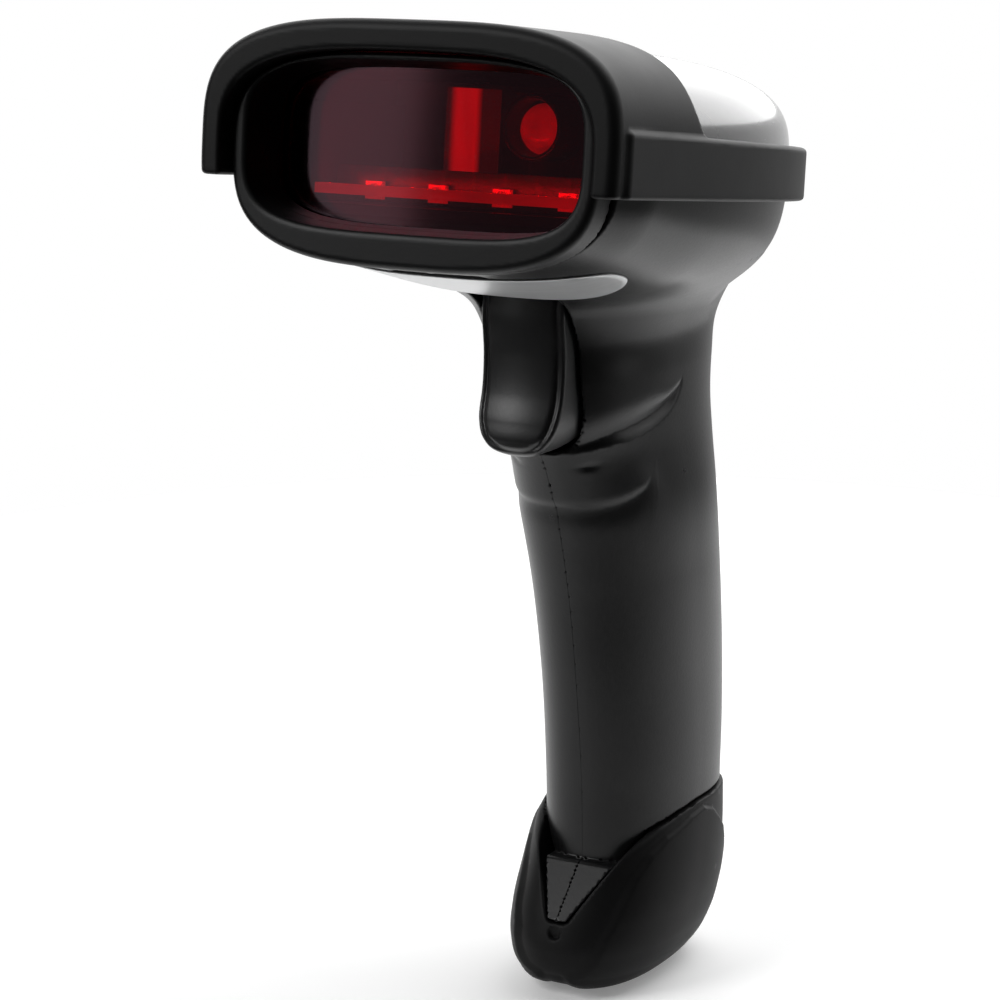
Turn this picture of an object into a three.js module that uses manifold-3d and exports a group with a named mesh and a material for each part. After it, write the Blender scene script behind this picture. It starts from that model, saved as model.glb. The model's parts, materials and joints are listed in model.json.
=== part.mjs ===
// Cordless handheld barcode scanner: a nose-up head on a leaning pistol handle.
//
// Millimetres, +Z up. The scan window faces -Y and +X is the scanner's left hand side as the user holds it.
// The origin is the middle of the small flat under the boot, which the scanner stands on.
// Head parts are made in the head's own frame, x across, y back along the head and z up from its axis,
// and the head group turns that frame nose-up about the top of the handle.

import * as THREE from 'three';
import { mergeVertices } from 'three/addons/utils/BufferGeometryUtils.js';
import Module from 'manifold-3d';

// ---------------------------------------------------------------------------------------------------
// Driving dimensions
// ---------------------------------------------------------------------------------------------------

// Head
const HEAD_TILT_DEG = 6; // nose-up angle of the head
const HEAD_AXIS_Z = 149; // height of the head's axis at its front
const HEAD_FRONT_Y = -68; // where the head's axis meets the front plane of the hood
const HEAD_LENGTH = 96.5; // front plane to the back of the head shell
const HEAD_HALF_WIDTH = 34.2;
const HEAD_TOP = 17.6; // crown above the head's axis
const HEAD_BOTTOM = 22.3; // belly below the head's axis
const CROWN_POWER = 3.4; // how square the upper half of a head section is
const BELLY_POWER = 2.8; // how square the lower half is
const PLAN_POWER = 2.9; // roundness of the back of the head seen from above
const CROWN_PROFILE_POWER = 2.9; // roundness of the back of the crown seen from the side
const BELLY_PROFILE_POWER = 5.0; // and of the belly
const TAPER_START = 16; // where the plan starts to draw in towards the back
const PROFILE_START = 30;
const BELLY_DROP_LENGTH = 40; // the belly deepens from the chin over this length

// Bezel and window
const BEZEL_HALF_WIDTH = 31.9;
const BEZEL_TOP = 14.5;
const BEZEL_BOTTOM = 17.6;
const BEZEL_POWER = 3.1;
const BEZEL_SETBACK = 2.6; // bezel face behind the hood's front plane
const BEZEL_DEPTH = 5.4;
const TUNNEL_DEPTH = 3.4; // bezel's inner tunnel past its flange, back to the window
const TUNNEL_WALL = 1.2;
const TUNNEL_DRAFT = 0.8; // tunnel narrows by this much on each side
const BEZEL_EDGE = 1.0; // rounding of the bezel's outer edge
const WINDOW_HALF_WIDTH = 28.4;
const WINDOW_HALF_HEIGHT = 12.0;
const WINDOW_CENTRE = 0.6; // opening's centre above the head's axis
const WINDOW_POWER = 4;
const WINDOW_MARGIN = 1.2; // window plate past the opening
const WINDOW_THICKNESS = 1.5;
const GASKET_WIDTH = 1.2;
const GASKET_THICKNESS = 0.8;

// Bumper: hood over the front and band round the head
const HOOD_DEPTH = 24.4; // front plane to the hood's back edge on the crown
const HOOD_SWEEP = 4.6; // how much further back that edge is where it meets the band
const HOOD_SIDE = 2.1; // hood proud of the head at its sides
const HOOD_RISE = 1.8; // hood proud of the crown
const HOOD_EDGE = 1.2; // rounding of the hood's front edge
const BAND_PROUD = 2.8; // band proud of the head shell
const BAND_FRONT = 2.6; // band starts this far behind the hood's front plane
const BAND_TOP = 4.8; // upper edge at the front
const BAND_TOP_BACK = 3.4; // upper edge at the back
const BAND_BOTTOM = 5.1; // lower edge below the head's axis

// Shells
const WALL = 2.0;
const SEAM = 0.15; // half the gap at the seam between two shells
const FIT = 0.3; // clearance between seated parts

// Battery
const CELL_RADIUS = 9.1;
const CELL_LENGTH = 65;
const CELL_FOOT_Z = 24;
const CELL_Y = 8.6;
const CELL_ROOM = 2.1; // between the cell and the inside of the handle, each side

// Handle, as front, back and extra half width at a few heights. The grip runs from its foot, which the boot
// sets, to the finger rest under the trigger, which hangs below the head with the neck.
const HANDLE_POWER = 2.3;
const GRIP_HALF_WIDTH = CELL_RADIUS + CELL_ROOM + WALL;
const GRIP_FOOT_Z = 35;
const GRIP_TOP_Z = HEAD_AXIS_Z - 62;
const HANDLE_FOOT_Z = 9.5;

function gripZ(share) {
  return GRIP_FOOT_Z + share * (GRIP_TOP_Z - GRIP_FOOT_Z);
}

function neckZ(drop) {
  return HEAD_AXIS_Z - drop;
}

const HANDLE_STATIONS = [
  { z: HANDLE_FOOT_Z, front: -8.6, back: 22.5, wide: -1.8 },
  { z: 21, front: -9.4, back: 27.8, wide: -0.3 },
  { z: gripZ(0), front: -9.9, back: 29.4, wide: 0 },
  { z: gripZ(0.35), front: -12.0, back: 29.8, wide: 0 },
  { z: gripZ(0.7), front: -15.3, back: 27.5, wide: 0.5 },
  { z: gripZ(1), front: -20.2, back: 24.8, wide: 1.0 },
  { z: neckZ(54), front: -24.2, back: 24.9, wide: 0.3 },
  { z: neckZ(48), front: -28.4, back: 24.4, wide: 0.4 },
  { z: neckZ(41), front: -30.4, back: 24.4, wide: 0.8 },
  { z: neckZ(34), front: -31.0, back: 24.8, wide: 1.6 },
  { z: neckZ(28), front: -33.0, back: 26.4, wide: 4.6 },
  { z: neckZ(22), front: -36.5, back: 29.2, wide: 9.3 },
];

// Trigger
const TRIGGER_HALF_WIDTH = 7.6;
const TRIGGER_SLOT_GAP = 0.5;
const SLOT_BACK_ROOM = 3.1; // room behind the trigger for its travel
const TRIGGER_FACE_Y = -32.0; // flat of the trigger's face
const TRIGGER_BULGE = 2.3; // how far its lower lip stands forward of that
const TRIGGER_FOOT_Z = neckZ(52.2);
const TRIGGER_FOOT_ROUND = 9.5; // height of its rounded foot seen from the front
const TRIGGER_FOOT_POWER = 2.5;
const TRIGGER_HEAD = 3.2; // trigger above its pin
const TRIGGER_DEPTH = 11.5;
const TRIGGER_TRAVEL_DEG = 5.5;
const PIVOT_Y = -25.5;
const PIVOT_Z = neckZ(23);
const PIVOT_RADIUS = 1.2;
const PIVOT_RUNNING_GAP = 0.06;
const PIVOT_HALF_LENGTH = 11.2;
const EAR_THICKNESS = 2.8;
const SWITCH_Z = PIVOT_Z - 9; // height of the switch plunger
const SPRING_Z = PIVOT_Z - 20;

// Boot
const BOOT_STATIONS = [
  { z: 0, front: -13.0, back: 13.5, wide: -5.6 },
  { z: 1.6, front: -18.0, back: 17.6, wide: -2.8 },
  { z: 4.2, front: -20.4, back: 21.6, wide: -0.4 },
  { z: 8, front: -20.9, back: 24.6, wide: 1.2 },
  { z: 13, front: -19.4, back: 27.0, wide: 1.9 },
  { z: 20, front: -15.4, back: 28.6, wide: 1.9 },
  { z: 27, front: -12.0, back: 29.4, wide: 1.3 },
  { z: 31, front: -10.9, back: 29.8, wide: 0.9 },
];
const BOOT_POWER = 2.4;
const BOOT_FLOOR_Z = 8.2;
const RIM_BACK_Z = 29.8; // boot's rim at the back and along the sides
const NOTCH_TOP_Z = 24; // the rim drops to here where the front V starts
const NOTCH_HALF_WIDTH = 8.2; // half width of the V there
const NOTCH_FOOT_Z = 13; // lowest point of the V
const NOTCH_FOOT_HALF_WIDTH = 1.8;
const TONGUE_TOP_Z = 21.8; // ledge where the handle's skin steps back to the tongue
const TONGUE_LAP = 0.5; // handle's skin runs this far down into the tongue
const FOOT_STEP = 1.5; // handle steps in by this much where the boot covers it

// Charging socket under the boot
const PORT_Y = 9.2;
const PORT_HALF_WIDTH = 5.4;
const PORT_HALF_DEPTH = 3.6;
const PORT_DEPTH = 6.6;
const SOCKET = { width: 7.6, depth: 2.8, height: 5.2, wall: 0.35 };

// Fasteners
const SCREW_HEAD_RADIUS = 2.4;
const SCREW_HEAD_HEIGHT = 1.6;
const SCREW_SHANK_RADIUS = 1.2;
const SCREW_BOSS_RADIUS = 3.0;
const SHELL_SCREWS = [
  { name: 'shell_screw_neck', y: 20.6, z: neckZ(48) },
  { name: 'shell_screw_middle', y: -5.6, z: gripZ(0.75) },
  { name: 'shell_screw_foot', y: 23.6, z: gripZ(0.1) },
];
const RECESS_DEPTH = 2.6; // screw heads below the outer skin

// ---------------------------------------------------------------------------------------------------
// Materials
// ---------------------------------------------------------------------------------------------------

function paint(color, roughness, metalness = 0, extra = {}) {
  return new THREE.MeshStandardMaterial({ color, roughness, metalness, ...extra });
}

const MATTE_BLACK = () => paint(0x1b1b1c, 0.55);
const GLOSS_BLACK = () => paint(0x0b0b0c, 0.08);
const RUBBER_BLACK = () => paint(0x161617, 0.7);
const CIRCUIT_GREEN = () => paint(0x14502c, 0.5);
const STEEL = () => paint(0xa8aaad, 0.35, 1);

// ---------------------------------------------------------------------------------------------------
// Solids
// ---------------------------------------------------------------------------------------------------

const wasm = await Module();
wasm.setup();

const SLIVER = 0.02; // shorter edges than this carry no shape
const WELD = 0.004; // corners closer than this are one corner

// A closed geometry as a manifold solid.
function solid(geometry) {
  let merged = (geometry.index ? geometry.toNonIndexed() : geometry).clone();
  for (const name of Object.keys(merged.attributes)) {
    if (name !== 'position') merged.deleteAttribute(name);
  }
  merged = mergeVertices(merged, 1e-5);
  return new wasm.Manifold(new wasm.Mesh({
    numProp: 3,
    vertProperties: new Float32Array(merged.attributes.position.array),
    triVerts: new Uint32Array(merged.index.array),
  }));
}

// A solid's mesh, with the slivers that cuts leave closed up.
function geometryOf(manifold) {
  const mesh = manifold.simplify(SLIVER).getMesh();
  const cut = new THREE.BufferGeometry();
  cut.setAttribute('position', new THREE.BufferAttribute(new Float32Array(mesh.vertProperties), 3));
  cut.setIndex(new THREE.BufferAttribute(new Uint32Array(mesh.triVerts), 1));
  const geometry = mergeVertices(cut, WELD);
  geometry.setIndex(wholeTriangles(geometry.index.array));
  geometry.computeVertexNormals();
  return geometry;
}

// Leaves out the triangles whose corners have been welded to each other.
function wholeTriangles(corners) {
  const kept = [];
  for (let i = 0; i < corners.length; i += 3) {
    const [a, b, c] = corners.slice(i, i + 3);
    if (a !== b && b !== c && c !== a) {
      kept.push(a, b, c);
    }
  }
  return kept;
}

function union(first, ...others) {
  return others.reduce((sum, next) => sum.add(next), first);
}

function difference(first, ...others) {
  return others.reduce((rest, next) => rest.subtract(next), first);
}

function addMesh(group, name, shape, material) {
  const mesh = new THREE.Mesh(shape.isBufferGeometry ? shape : geometryOf(shape), material);
  mesh.name = name;
  group.add(mesh);
  return mesh;
}

function blockGeometry(low, high) {
  const size = new THREE.Vector3().subVectors(high, low);
  return new THREE.BoxGeometry(size.x, size.y, size.z)
    .translate(low.x + size.x / 2, low.y + size.y / 2, low.z + size.z / 2);
}

function block(x0, x1, y0, y1, z0, z1) {
  return solid(blockGeometry(new THREE.Vector3(x0, y0, z0), new THREE.Vector3(x1, y1, z1)));
}

// A round bar from one point to another.
function barGeometry(from, to, radius, sides = 16) {
  const along = new THREE.Vector3().subVectors(to, from);
  const geometry = new THREE.CylinderGeometry(radius, radius, along.length(), sides);
  const turn = new THREE.Quaternion().setFromUnitVectors(new THREE.Vector3(0, 1, 0), along.clone().normalize());
  return geometry.applyQuaternion(turn).translate(
    (from.x + to.x) / 2, (from.y + to.y) / 2, (from.z + to.z) / 2);
}

function bar(from, to, radius, sides) {
  return solid(barGeometry(from, to, radius, sides));
}

function barX(x0, x1, y, z, radius, sides) {
  return bar(new THREE.Vector3(x0, y, z), new THREE.Vector3(x1, y, z), radius, sides);
}

function barY(y0, y1, x, z, radius, sides) {
  return bar(new THREE.Vector3(x, y0, z), new THREE.Vector3(x, y1, z), radius, sides);
}

// A flat outline in the YZ plane, given as [y, z] points, pushed out along X from x0 to x1.
function sideProfile(points, x0, x1) {
  const shape = new THREE.Shape(points.map(([y, z]) => new THREE.Vector2(y, z)));
  const geometry = new THREE.ExtrudeGeometry(shape, { depth: x1 - x0, bevelEnabled: false });
  const axes = new THREE.Matrix4().set(0, 0, 1, x0, 1, 0, 0, 0, 0, 1, 0, 0, 0, 0, 0, 1);
  return solid(geometry.applyMatrix4(axes));
}

// A flat outline in the XZ plane, given as [x, z] points, pushed out along Y from y0 to y1.
function frontProfile(points, y0, y1) {
  const shape = new THREE.Shape(points.map(([x, z]) => new THREE.Vector2(x, z)));
  const geometry = new THREE.ExtrudeGeometry(shape, { depth: y1 - y0, bevelEnabled: false });
  const axes = new THREE.Matrix4().set(1, 0, 0, 0, 0, 0, -1, y1, 0, 1, 0, 0, 0, 0, 0, 1);
  return solid(geometry.applyMatrix4(axes));
}

// A closed skin over a stack of rings with equal counts of points, with a flat lid at each end.
function loft(rings) {
  const count = rings[0].length;
  const positions = [];
  const indices = [];
  for (const ring of rings) {
    for (const point of ring) positions.push(point.x, point.y, point.z);
  }
  for (let r = 0; r < rings.length - 1; r += 1) {
    for (let i = 0; i < count; i += 1) {
      const next = (i + 1) % count;
      const a = r * count + i;
      const b = r * count + next;
      indices.push(a, a + count, b, b, a + count, b + count);
    }
  }
  for (const end of [0, rings.length - 1]) {
    const centre = rings[end].reduce((sum, p) => sum.add(p), new THREE.Vector3()).divideScalar(count);
    const hub = positions.length / 3;
    positions.push(centre.x, centre.y, centre.z);
    for (let i = 0; i < count; i += 1) {
      const a = end * count + i;
      const b = end * count + ((i + 1) % count);
      if (end === 0) indices.push(hub, a, b);
      else indices.push(hub, b, a);
    }
  }
  const geometry = new THREE.BufferGeometry();
  geometry.setAttribute('position', new THREE.Float32BufferAttribute(positions, 3));
  geometry.setIndex(indices);
  if (signedVolume(geometry) < 0) {
    for (let i = 0; i < indices.length; i += 3) {
      [indices[i + 1], indices[i + 2]] = [indices[i + 2], indices[i + 1]];
    }
    geometry.setIndex(indices);
  }
  return solid(geometry);
}

function signedVolume(geometry) {
  const position = geometry.attributes.position;
  const index = geometry.index.array;
  const [a, b, c] = [new THREE.Vector3(), new THREE.Vector3(), new THREE.Vector3()];
  let volume = 0;
  for (let i = 0; i < index.length; i += 3) {
    a.fromBufferAttribute(position, index[i]);
    b.fromBufferAttribute(position, index[i + 1]);
    c.fromBufferAttribute(position, index[i + 2]);
    volume += a.dot(b.cross(c)) / 6;
  }
  return volume;
}

// ---------------------------------------------------------------------------------------------------
// Section curves
// ---------------------------------------------------------------------------------------------------

// Points of a rounded oval: half width a, height up and depth down, each half with its own power.
function ovalPoints(a, up, down, powerUp, powerDown, count) {
  const points = [];
  for (let i = 0; i < count; i += 1) {
    const t = (i / count) * Math.PI * 2;
    const height = Math.sin(t) >= 0 ? up : down;
    const power = Math.sin(t) >= 0 ? powerUp : powerDown;
    const [cos, sin] = [Math.cos(t), Math.sin(t)];
    const reach = (Math.abs(cos) ** power + Math.abs(sin) ** power) ** (-1 / power);
    points.push([a * cos * reach, height * sin * reach]);
  }
  return points;
}

function smooth(t) {
  const u = THREE.MathUtils.clamp(t, 0, 1);
  return u * u * (3 - 2 * u);
}

// Full size up to start, then drawing in to nothing at end.
function drawIn(v, start, end, power) {
  const t = THREE.MathUtils.clamp((v - start) / (end - start), 0, 1);
  return (1 - t ** power) ** (1 / power);
}

const HEAD_POINTS = 36;
const CHIN_RATIO = BEZEL_BOTTOM / HEAD_BOTTOM;
const CHEEK_RATIO = (BEZEL_HALF_WIDTH + 0.1) / HEAD_HALF_WIDTH;

// Places along the head where its skin is sectioned, closer together where it rounds off.
function headStations(from, to, steps) {
  const stations = [from];
  for (let i = 1; i <= steps; i += 1) {
    stations.push(from + (to - from) * Math.sin((i / steps) * Math.PI / 2) ** 0.9);
  }
  return stations;
}

// The head's outer skin, grown by side and rise, from one place along the head to its back.
function headSkin(from, side, rise, steps = 12) {
  const end = HEAD_LENGTH + side;
  const last = end - 0.02;
  return loft(headStations(from, last, steps).map((v) => {
    const plan = drawIn(v, TAPER_START, end, PLAN_POWER);
    const crownEnd = drawIn(v, PROFILE_START, end, CROWN_PROFILE_POWER);
    const bellyEnd = drawIn(v, PROFILE_START, end, BELLY_PROFILE_POWER);
    const cheek = CHEEK_RATIO + (1 - CHEEK_RATIO) * smooth((v - BEZEL_SETBACK) / TAPER_START);
    const belly = CHIN_RATIO + (1 - CHIN_RATIO) * smooth((v - BEZEL_SETBACK) / BELLY_DROP_LENGTH);
    return ovalPoints(
      (HEAD_HALF_WIDTH * cheek + side) * plan,
      (HEAD_TOP + rise) * crownEnd,
      (HEAD_BOTTOM * belly + rise) * bellyEnd,
      CROWN_POWER, BELLY_POWER, HEAD_POINTS,
    ).map(([x, z]) => new THREE.Vector3(x, v, z));
  }));
}

// A prism of the bezel's outline, grown by grow, between two places along the head.
function bezelSkin(from, to, grow, edge = 0) {
  const rings = edge > 0 ? [[from, grow - edge], [from + edge * 0.3, grow - edge * 0.3], [from + edge, grow]]
    : [[from, grow]];
  rings.push([to, grow]);
  return loft(rings.map(([v, g]) => ovalPoints(BEZEL_HALF_WIDTH + g, BEZEL_TOP + g, BEZEL_BOTTOM + g,
    BEZEL_POWER, BEZEL_POWER, HEAD_POINTS).map(([x, z]) => new THREE.Vector3(x, v, z))));
}

// A prism of the window opening's outline, grown by grow.
function windowSkin(from, to, growFrom, growTo = growFrom) {
  return loft([[from, growFrom], [to, growTo]].map(([v, g]) => ovalPoints(
    WINDOW_HALF_WIDTH + g, WINDOW_HALF_HEIGHT + g, WINDOW_HALF_HEIGHT + g,
    WINDOW_POWER, WINDOW_POWER, HEAD_POINTS,
  ).map(([x, z]) => new THREE.Vector3(x, v, z + WINDOW_CENTRE))));
}

// A value of the handle's or boot's stations at a height, on a smooth curve through them.
function stationValue(stations, key, z) {
  const last = stations.length - 1;
  let k = stations.findIndex((s) => s.z > z) - 1;
  if (k < 0) k = z <= stations[0].z ? 0 : last - 1;
  const at = (i) => stations[THREE.MathUtils.clamp(i, 0, last)];
  const slope = (i) => {
    const [low, high] = [at(i - 1), at(i + 1)];
    return (high[key] - low[key]) / (high.z - low.z);
  };
  const [p, q] = [at(k), at(k + 1)];
  const span = q.z - p.z;
  const t = THREE.MathUtils.clamp((z - p.z) / span, 0, 1);
  return p[key] * (1 + 2 * t) * (1 - t) ** 2 + q[key] * t * t * (3 - 2 * t)
    + span * (slope(k) * t * (1 - t) ** 2 - slope(k + 1) * t * t * (1 - t));
}

// An upright skin whose level sections follow the stations, grown by grow.
function uprightSkin(stations, power, grow, from, to, levels, count) {
  const rings = [];
  for (let i = 0; i <= levels; i += 1) {
    const z = from + ((to - from) * i) / levels;
    const front = stationValue(stations, 'front', z) - grow;
    const back = stationValue(stations, 'back', z) + grow;
    const half = GRIP_HALF_WIDTH + stationValue(stations, 'wide', z) + grow;
    rings.push(ovalPoints(half, (back - front) / 2, (back - front) / 2, power, power, count)
      .map(([x, y]) => new THREE.Vector3(x, (front + back) / 2 + y, z)));
  }
  return loft(rings);
}

const HANDLE_POINTS = 26;
const NECK_TOP_Z = HANDLE_STATIONS[HANDLE_STATIONS.length - 1].z;

function handleSkin(grow, from = HANDLE_FOOT_Z, to = NECK_TOP_Z) {
  return uprightSkin(HANDLE_STATIONS, HANDLE_POWER, grow, from, to, 18, HANDLE_POINTS);
}

// ---------------------------------------------------------------------------------------------------
// Scanner and head groups
// ---------------------------------------------------------------------------------------------------

const scanner = new THREE.Group();
const head = new THREE.Group();
head.position.set(0, HEAD_FRONT_Y, HEAD_AXIS_Z);
head.rotation.x = THREE.MathUtils.degToRad(-HEAD_TILT_DEG);
scanner.add(head);
head.updateMatrix();

// A solid made in the head's frame, moved into the scanner's frame.
function fromHead(manifold) {
  return solid(geometryOf(manifold).applyMatrix4(head.matrix));
}

const FAR = 200; // past every outline, for cutting away one side of a plane
const COVER_FRONT = BEZEL_SETBACK + BEZEL_DEPTH + FIT; // shells start here, behind the bezel

const COVER_INNER_FRONT = COVER_FRONT - 1;

// ---------------------------------------------------------------------------------------------------
// Front of the head
// ---------------------------------------------------------------------------------------------------

const FLANGE_BACK = BEZEL_SETBACK + BEZEL_DEPTH;
const TUNNEL_BACK = FLANGE_BACK + TUNNEL_DEPTH;

function makeBezel() {
  const flange = bezelSkin(BEZEL_SETBACK, FLANGE_BACK, 0, BEZEL_EDGE);
  const tunnel = windowSkin(FLANGE_BACK - 1, TUNNEL_BACK, TUNNEL_WALL);
  const opening = windowSkin(BEZEL_SETBACK - 1, TUNNEL_BACK + 1, TUNNEL_DRAFT, -0.1);
  addMesh(head, 'front_bezel', difference(union(flange, tunnel), opening), MATTE_BLACK());
}

const WINDOW_FRONT = TUNNEL_BACK + FIT;
const WINDOW_BACK = WINDOW_FRONT + WINDOW_THICKNESS;

function makeWindow() {
  const plate = windowSkin(WINDOW_FRONT, WINDOW_BACK, WINDOW_MARGIN);
  addMesh(head, 'scan_window', plate, paint(0x5a0512, 0.05, 0, { transparent: true, opacity: 0.5 }));
  const front = WINDOW_BACK + FIT;
  const gasket = difference(
    windowSkin(front, front + GASKET_THICKNESS, WINDOW_MARGIN),
    windowSkin(front - 1, front + GASKET_THICKNESS + 1, WINDOW_MARGIN - GASKET_WIDTH),
  );
  addMesh(head, 'window_gasket', gasket, paint(0x0a0a0a, 0.9));
}

// ---------------------------------------------------------------------------------------------------
// Bumper
// ---------------------------------------------------------------------------------------------------

// Outline, seen from the side, of everything above the band and behind the hood.
function aboveBandProfile() {
  const points = [];
  const steps = 6;
  for (let i = 0; i <= steps; i += 1) {
    const t = i / steps;
    points.push([HOOD_DEPTH + HOOD_SWEEP * t ** 3, HEAD_TOP + HOOD_RISE - (HEAD_TOP + HOOD_RISE - BAND_TOP) * t]);
  }
  points.push([HEAD_LENGTH + FAR, BAND_TOP_BACK - (BAND_TOP - BAND_TOP_BACK) * (FAR / HEAD_LENGTH)]);
  points.push([HEAD_LENGTH + FAR, FAR]);
  points.push([HOOD_DEPTH, FAR]);
  return points;
}

function hoodSkin() {
  const end = HEAD_LENGTH + HOOD_SIDE;
  const sections = [[0, -HOOD_EDGE], [HOOD_EDGE * 0.3, -HOOD_EDGE * 0.3], [HOOD_EDGE, 0], [12, 0], [22, 0],
    [HOOD_DEPTH + HOOD_SWEEP + 2, 0]];
  return loft(sections.map(([v, g]) => {
    const plan = drawIn(v, TAPER_START, end, PLAN_POWER);
    return ovalPoints((HEAD_HALF_WIDTH + HOOD_SIDE) * plan + g, HEAD_TOP + HOOD_RISE + g, HEAD_BOTTOM,
      CROWN_POWER, BELLY_POWER, HEAD_POINTS).map(([x, z]) => new THREE.Vector3(x, v, z));
  }));
}

function makeBumper() {
  const belowBand = block(-FAR, FAR, -FAR, FAR, -FAR, -BAND_BOTTOM);
  const aboveBand = sideProfile(aboveBandProfile(), -FAR, FAR);
  const hood = difference(hoodSkin(), belowBand, aboveBand);
  const bandZone = sideProfile([[BAND_FRONT, -BAND_BOTTOM], [HEAD_LENGTH + 10, -BAND_BOTTOM],
    [HEAD_LENGTH + 10, BAND_TOP_BACK], [BAND_FRONT, BAND_TOP]], -FAR, FAR);
  const band = headSkinLevel(BAND_FRONT, BAND_PROUD).intersect(bandZone);
  const bumper = difference(
    union(hood, band),
    headSkin(COVER_FRONT - FIT, FIT, FIT),
    bezelSkin(-1, COVER_FRONT, FIT),
  );
  addMesh(head, 'bumper', bumper, RUBBER_BLACK());
}

// The head's plan outline as an upright wall, for the band, which doesn't follow the belly.
function headSkinLevel(from, side) {
  const end = HEAD_LENGTH + side;
  const tall = BAND_TOP + BAND_BOTTOM;
  return loft(headStations(from, end - 0.02, 14).map((v) => {
    const half = (HEAD_HALF_WIDTH + side) * drawIn(v, TAPER_START, end, PLAN_POWER);
    return [[half, -tall], [half, tall], [-half, tall], [-half, -tall]]
      .map(([x, z]) => new THREE.Vector3(x, v, z));
  }));
}

// ---------------------------------------------------------------------------------------------------
// Shells
// ---------------------------------------------------------------------------------------------------

function makeTopCover() {
  const cover = difference(
    headSkin(COVER_FRONT, 0, 0),
    headSkin(COVER_INNER_FRONT, -WALL, -WALL),
    block(-FAR, FAR, -FAR, FAR, -FAR, SEAM),
    lightPipeBar(FIT),
  );
  addMesh(head, 'top_cover', cover, GLOSS_BLACK());
}

const LIGHT_PIPE_V = 70; // place of the status light along the head
const LIGHT_PIPE_RADIUS = 2.0;

function lightPipeBar(grow) {
  return bar(new THREE.Vector3(0, LIGHT_PIPE_V, HEAD_TOP - 7), new THREE.Vector3(0, LIGHT_PIPE_V, HEAD_TOP + 4),
    LIGHT_PIPE_RADIUS + grow, 16);
}

function makeLightPipe() {
  const pipe = lightPipeBar(0).intersect(headSkin(COVER_FRONT, 0.1, 0.1));
  addMesh(head, 'status_light_pipe', pipe, paint(0xd8e8ff, 0.2, 0, { transparent: true, opacity: 0.7 }));
}

// Opening for the trigger in the front of the neck and the belly.
function triggerSlot() {
  const back = TRIGGER_FACE_Y + TRIGGER_DEPTH + SLOT_BACK_ROOM;
  return frontProfile(triggerFrontOutline(TRIGGER_SLOT_GAP), -FAR, back);
}

function screwPlace(screw) {
  const front = stationValue(HANDLE_STATIONS, 'front', screw.z);
  const back = stationValue(HANDLE_STATIONS, 'back', screw.z);
  const half = GRIP_HALF_WIDTH + stationValue(HANDLE_STATIONS, 'wide', screw.z);
  const across = Math.abs(screw.y - (front + back) / 2) / ((back - front) / 2);
  return half * (1 - across ** HANDLE_POWER) ** (1 / HANDLE_POWER);
}

// Shell halves: belly of the head and the handle in one piece, hollow, with ears for the trigger's pin
// and bosses for the screws.
function makeShells() {
  const belowSeam = fromHead(block(-FAR, FAR, COVER_FRONT, FAR, -FAR, -SEAM));
  const grip = union(
    handleSkin(0).intersect(union(aboveRim(0), notchLedge())),
    handleSkin(-FOOT_STEP),
    tongue(),
  );
  const outer = union(fromHead(headSkin(COVER_FRONT, 0, 0)), grip).intersect(
    union(belowSeam, block(-FAR, FAR, -FAR, FAR, -FAR, neckZ(37))));
  const inner = union(
    fromHead(headSkin(COVER_INNER_FRONT, -WALL, -WALL)),
    handleSkin(-WALL, TONGUE_TOP_Z + 12),
    handleSkin(-WALL - FOOT_STEP, HANDLE_FOOT_Z - 1),
  );
  const ears = union(
    block(TRIGGER_HALF_WIDTH + 1.0, TRIGGER_HALF_WIDTH + 1.0 + EAR_THICKNESS,
      PIVOT_Y - 3.4, PIVOT_Y + 3.4, PIVOT_Z - 12, PIVOT_Z + 3.6),
    block(-TRIGGER_HALF_WIDTH - 1.0 - EAR_THICKNESS, -TRIGGER_HALF_WIDTH - 1.0,
      PIVOT_Y - 3.4, PIVOT_Y + 3.4, PIVOT_Z - 12, PIVOT_Z + 3.6),
  ).intersect(outer);
  const bosses = union(...SHELL_SCREWS.map((s) => barX(-20, 20, s.y, s.z, SCREW_BOSS_RADIUS, 16)))
    .intersect(outer);
  const holes = SHELL_SCREWS.map((s) => {
    const skin = screwPlace(s);
    return union(
      barX(-skin + RECESS_DEPTH, skin - WALL, s.y, s.z, SCREW_SHANK_RADIUS + FIT, 12),
      barX(-FAR, -skin + RECESS_DEPTH + SCREW_HEAD_HEIGHT + 0.1, s.y, s.z, SCREW_HEAD_RADIUS + FIT, 16),
    );
  });
  const pinHole = barX(-PIVOT_HALF_LENGTH - FIT, PIVOT_HALF_LENGTH + FIT, PIVOT_Y, PIVOT_Z,
    PIVOT_RADIUS + PIVOT_RUNNING_GAP, 20);
  const body = difference(
    union(difference(outer, inner), ears, bosses), triggerSlot(), pinHole, ...holes,
  );
  const half = (low, high) => body.intersect(block(low, high, -FAR, FAR, -FAR, FAR));
  addMesh(scanner, 'left_shell', half(SEAM, FAR), MATTE_BLACK());
  addMesh(scanner, 'right_shell', half(-FAR, -SEAM), MATTE_BLACK());
}

function makeScrews() {
  for (const screw of SHELL_SCREWS) {
    const skin = screwPlace(screw);
    const headFace = -skin + RECESS_DEPTH;
    const shaft = barX(headFace + SCREW_HEAD_HEIGHT - 0.1, skin - WALL - FIT, screw.y, screw.z,
      SCREW_SHANK_RADIUS, 12);
    const cap = barX(headFace, headFace + SCREW_HEAD_HEIGHT, screw.y, screw.z, SCREW_HEAD_RADIUS, 16);
    const slot = union(
      block(headFace - 1, headFace + 0.7, screw.y - 1.4, screw.y + 1.4, screw.z - 0.3, screw.z + 0.3),
      block(headFace - 1, headFace + 0.7, screw.y - 0.3, screw.y + 0.3, screw.z - 1.4, screw.z + 1.4),
    );
    addMesh(scanner, screw.name, difference(union(shaft, cap), slot), STEEL());
  }
}

const LABEL = { centre: 25, halfWidth: 25, halfLength: 11, thickness: 0.3 };

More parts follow.
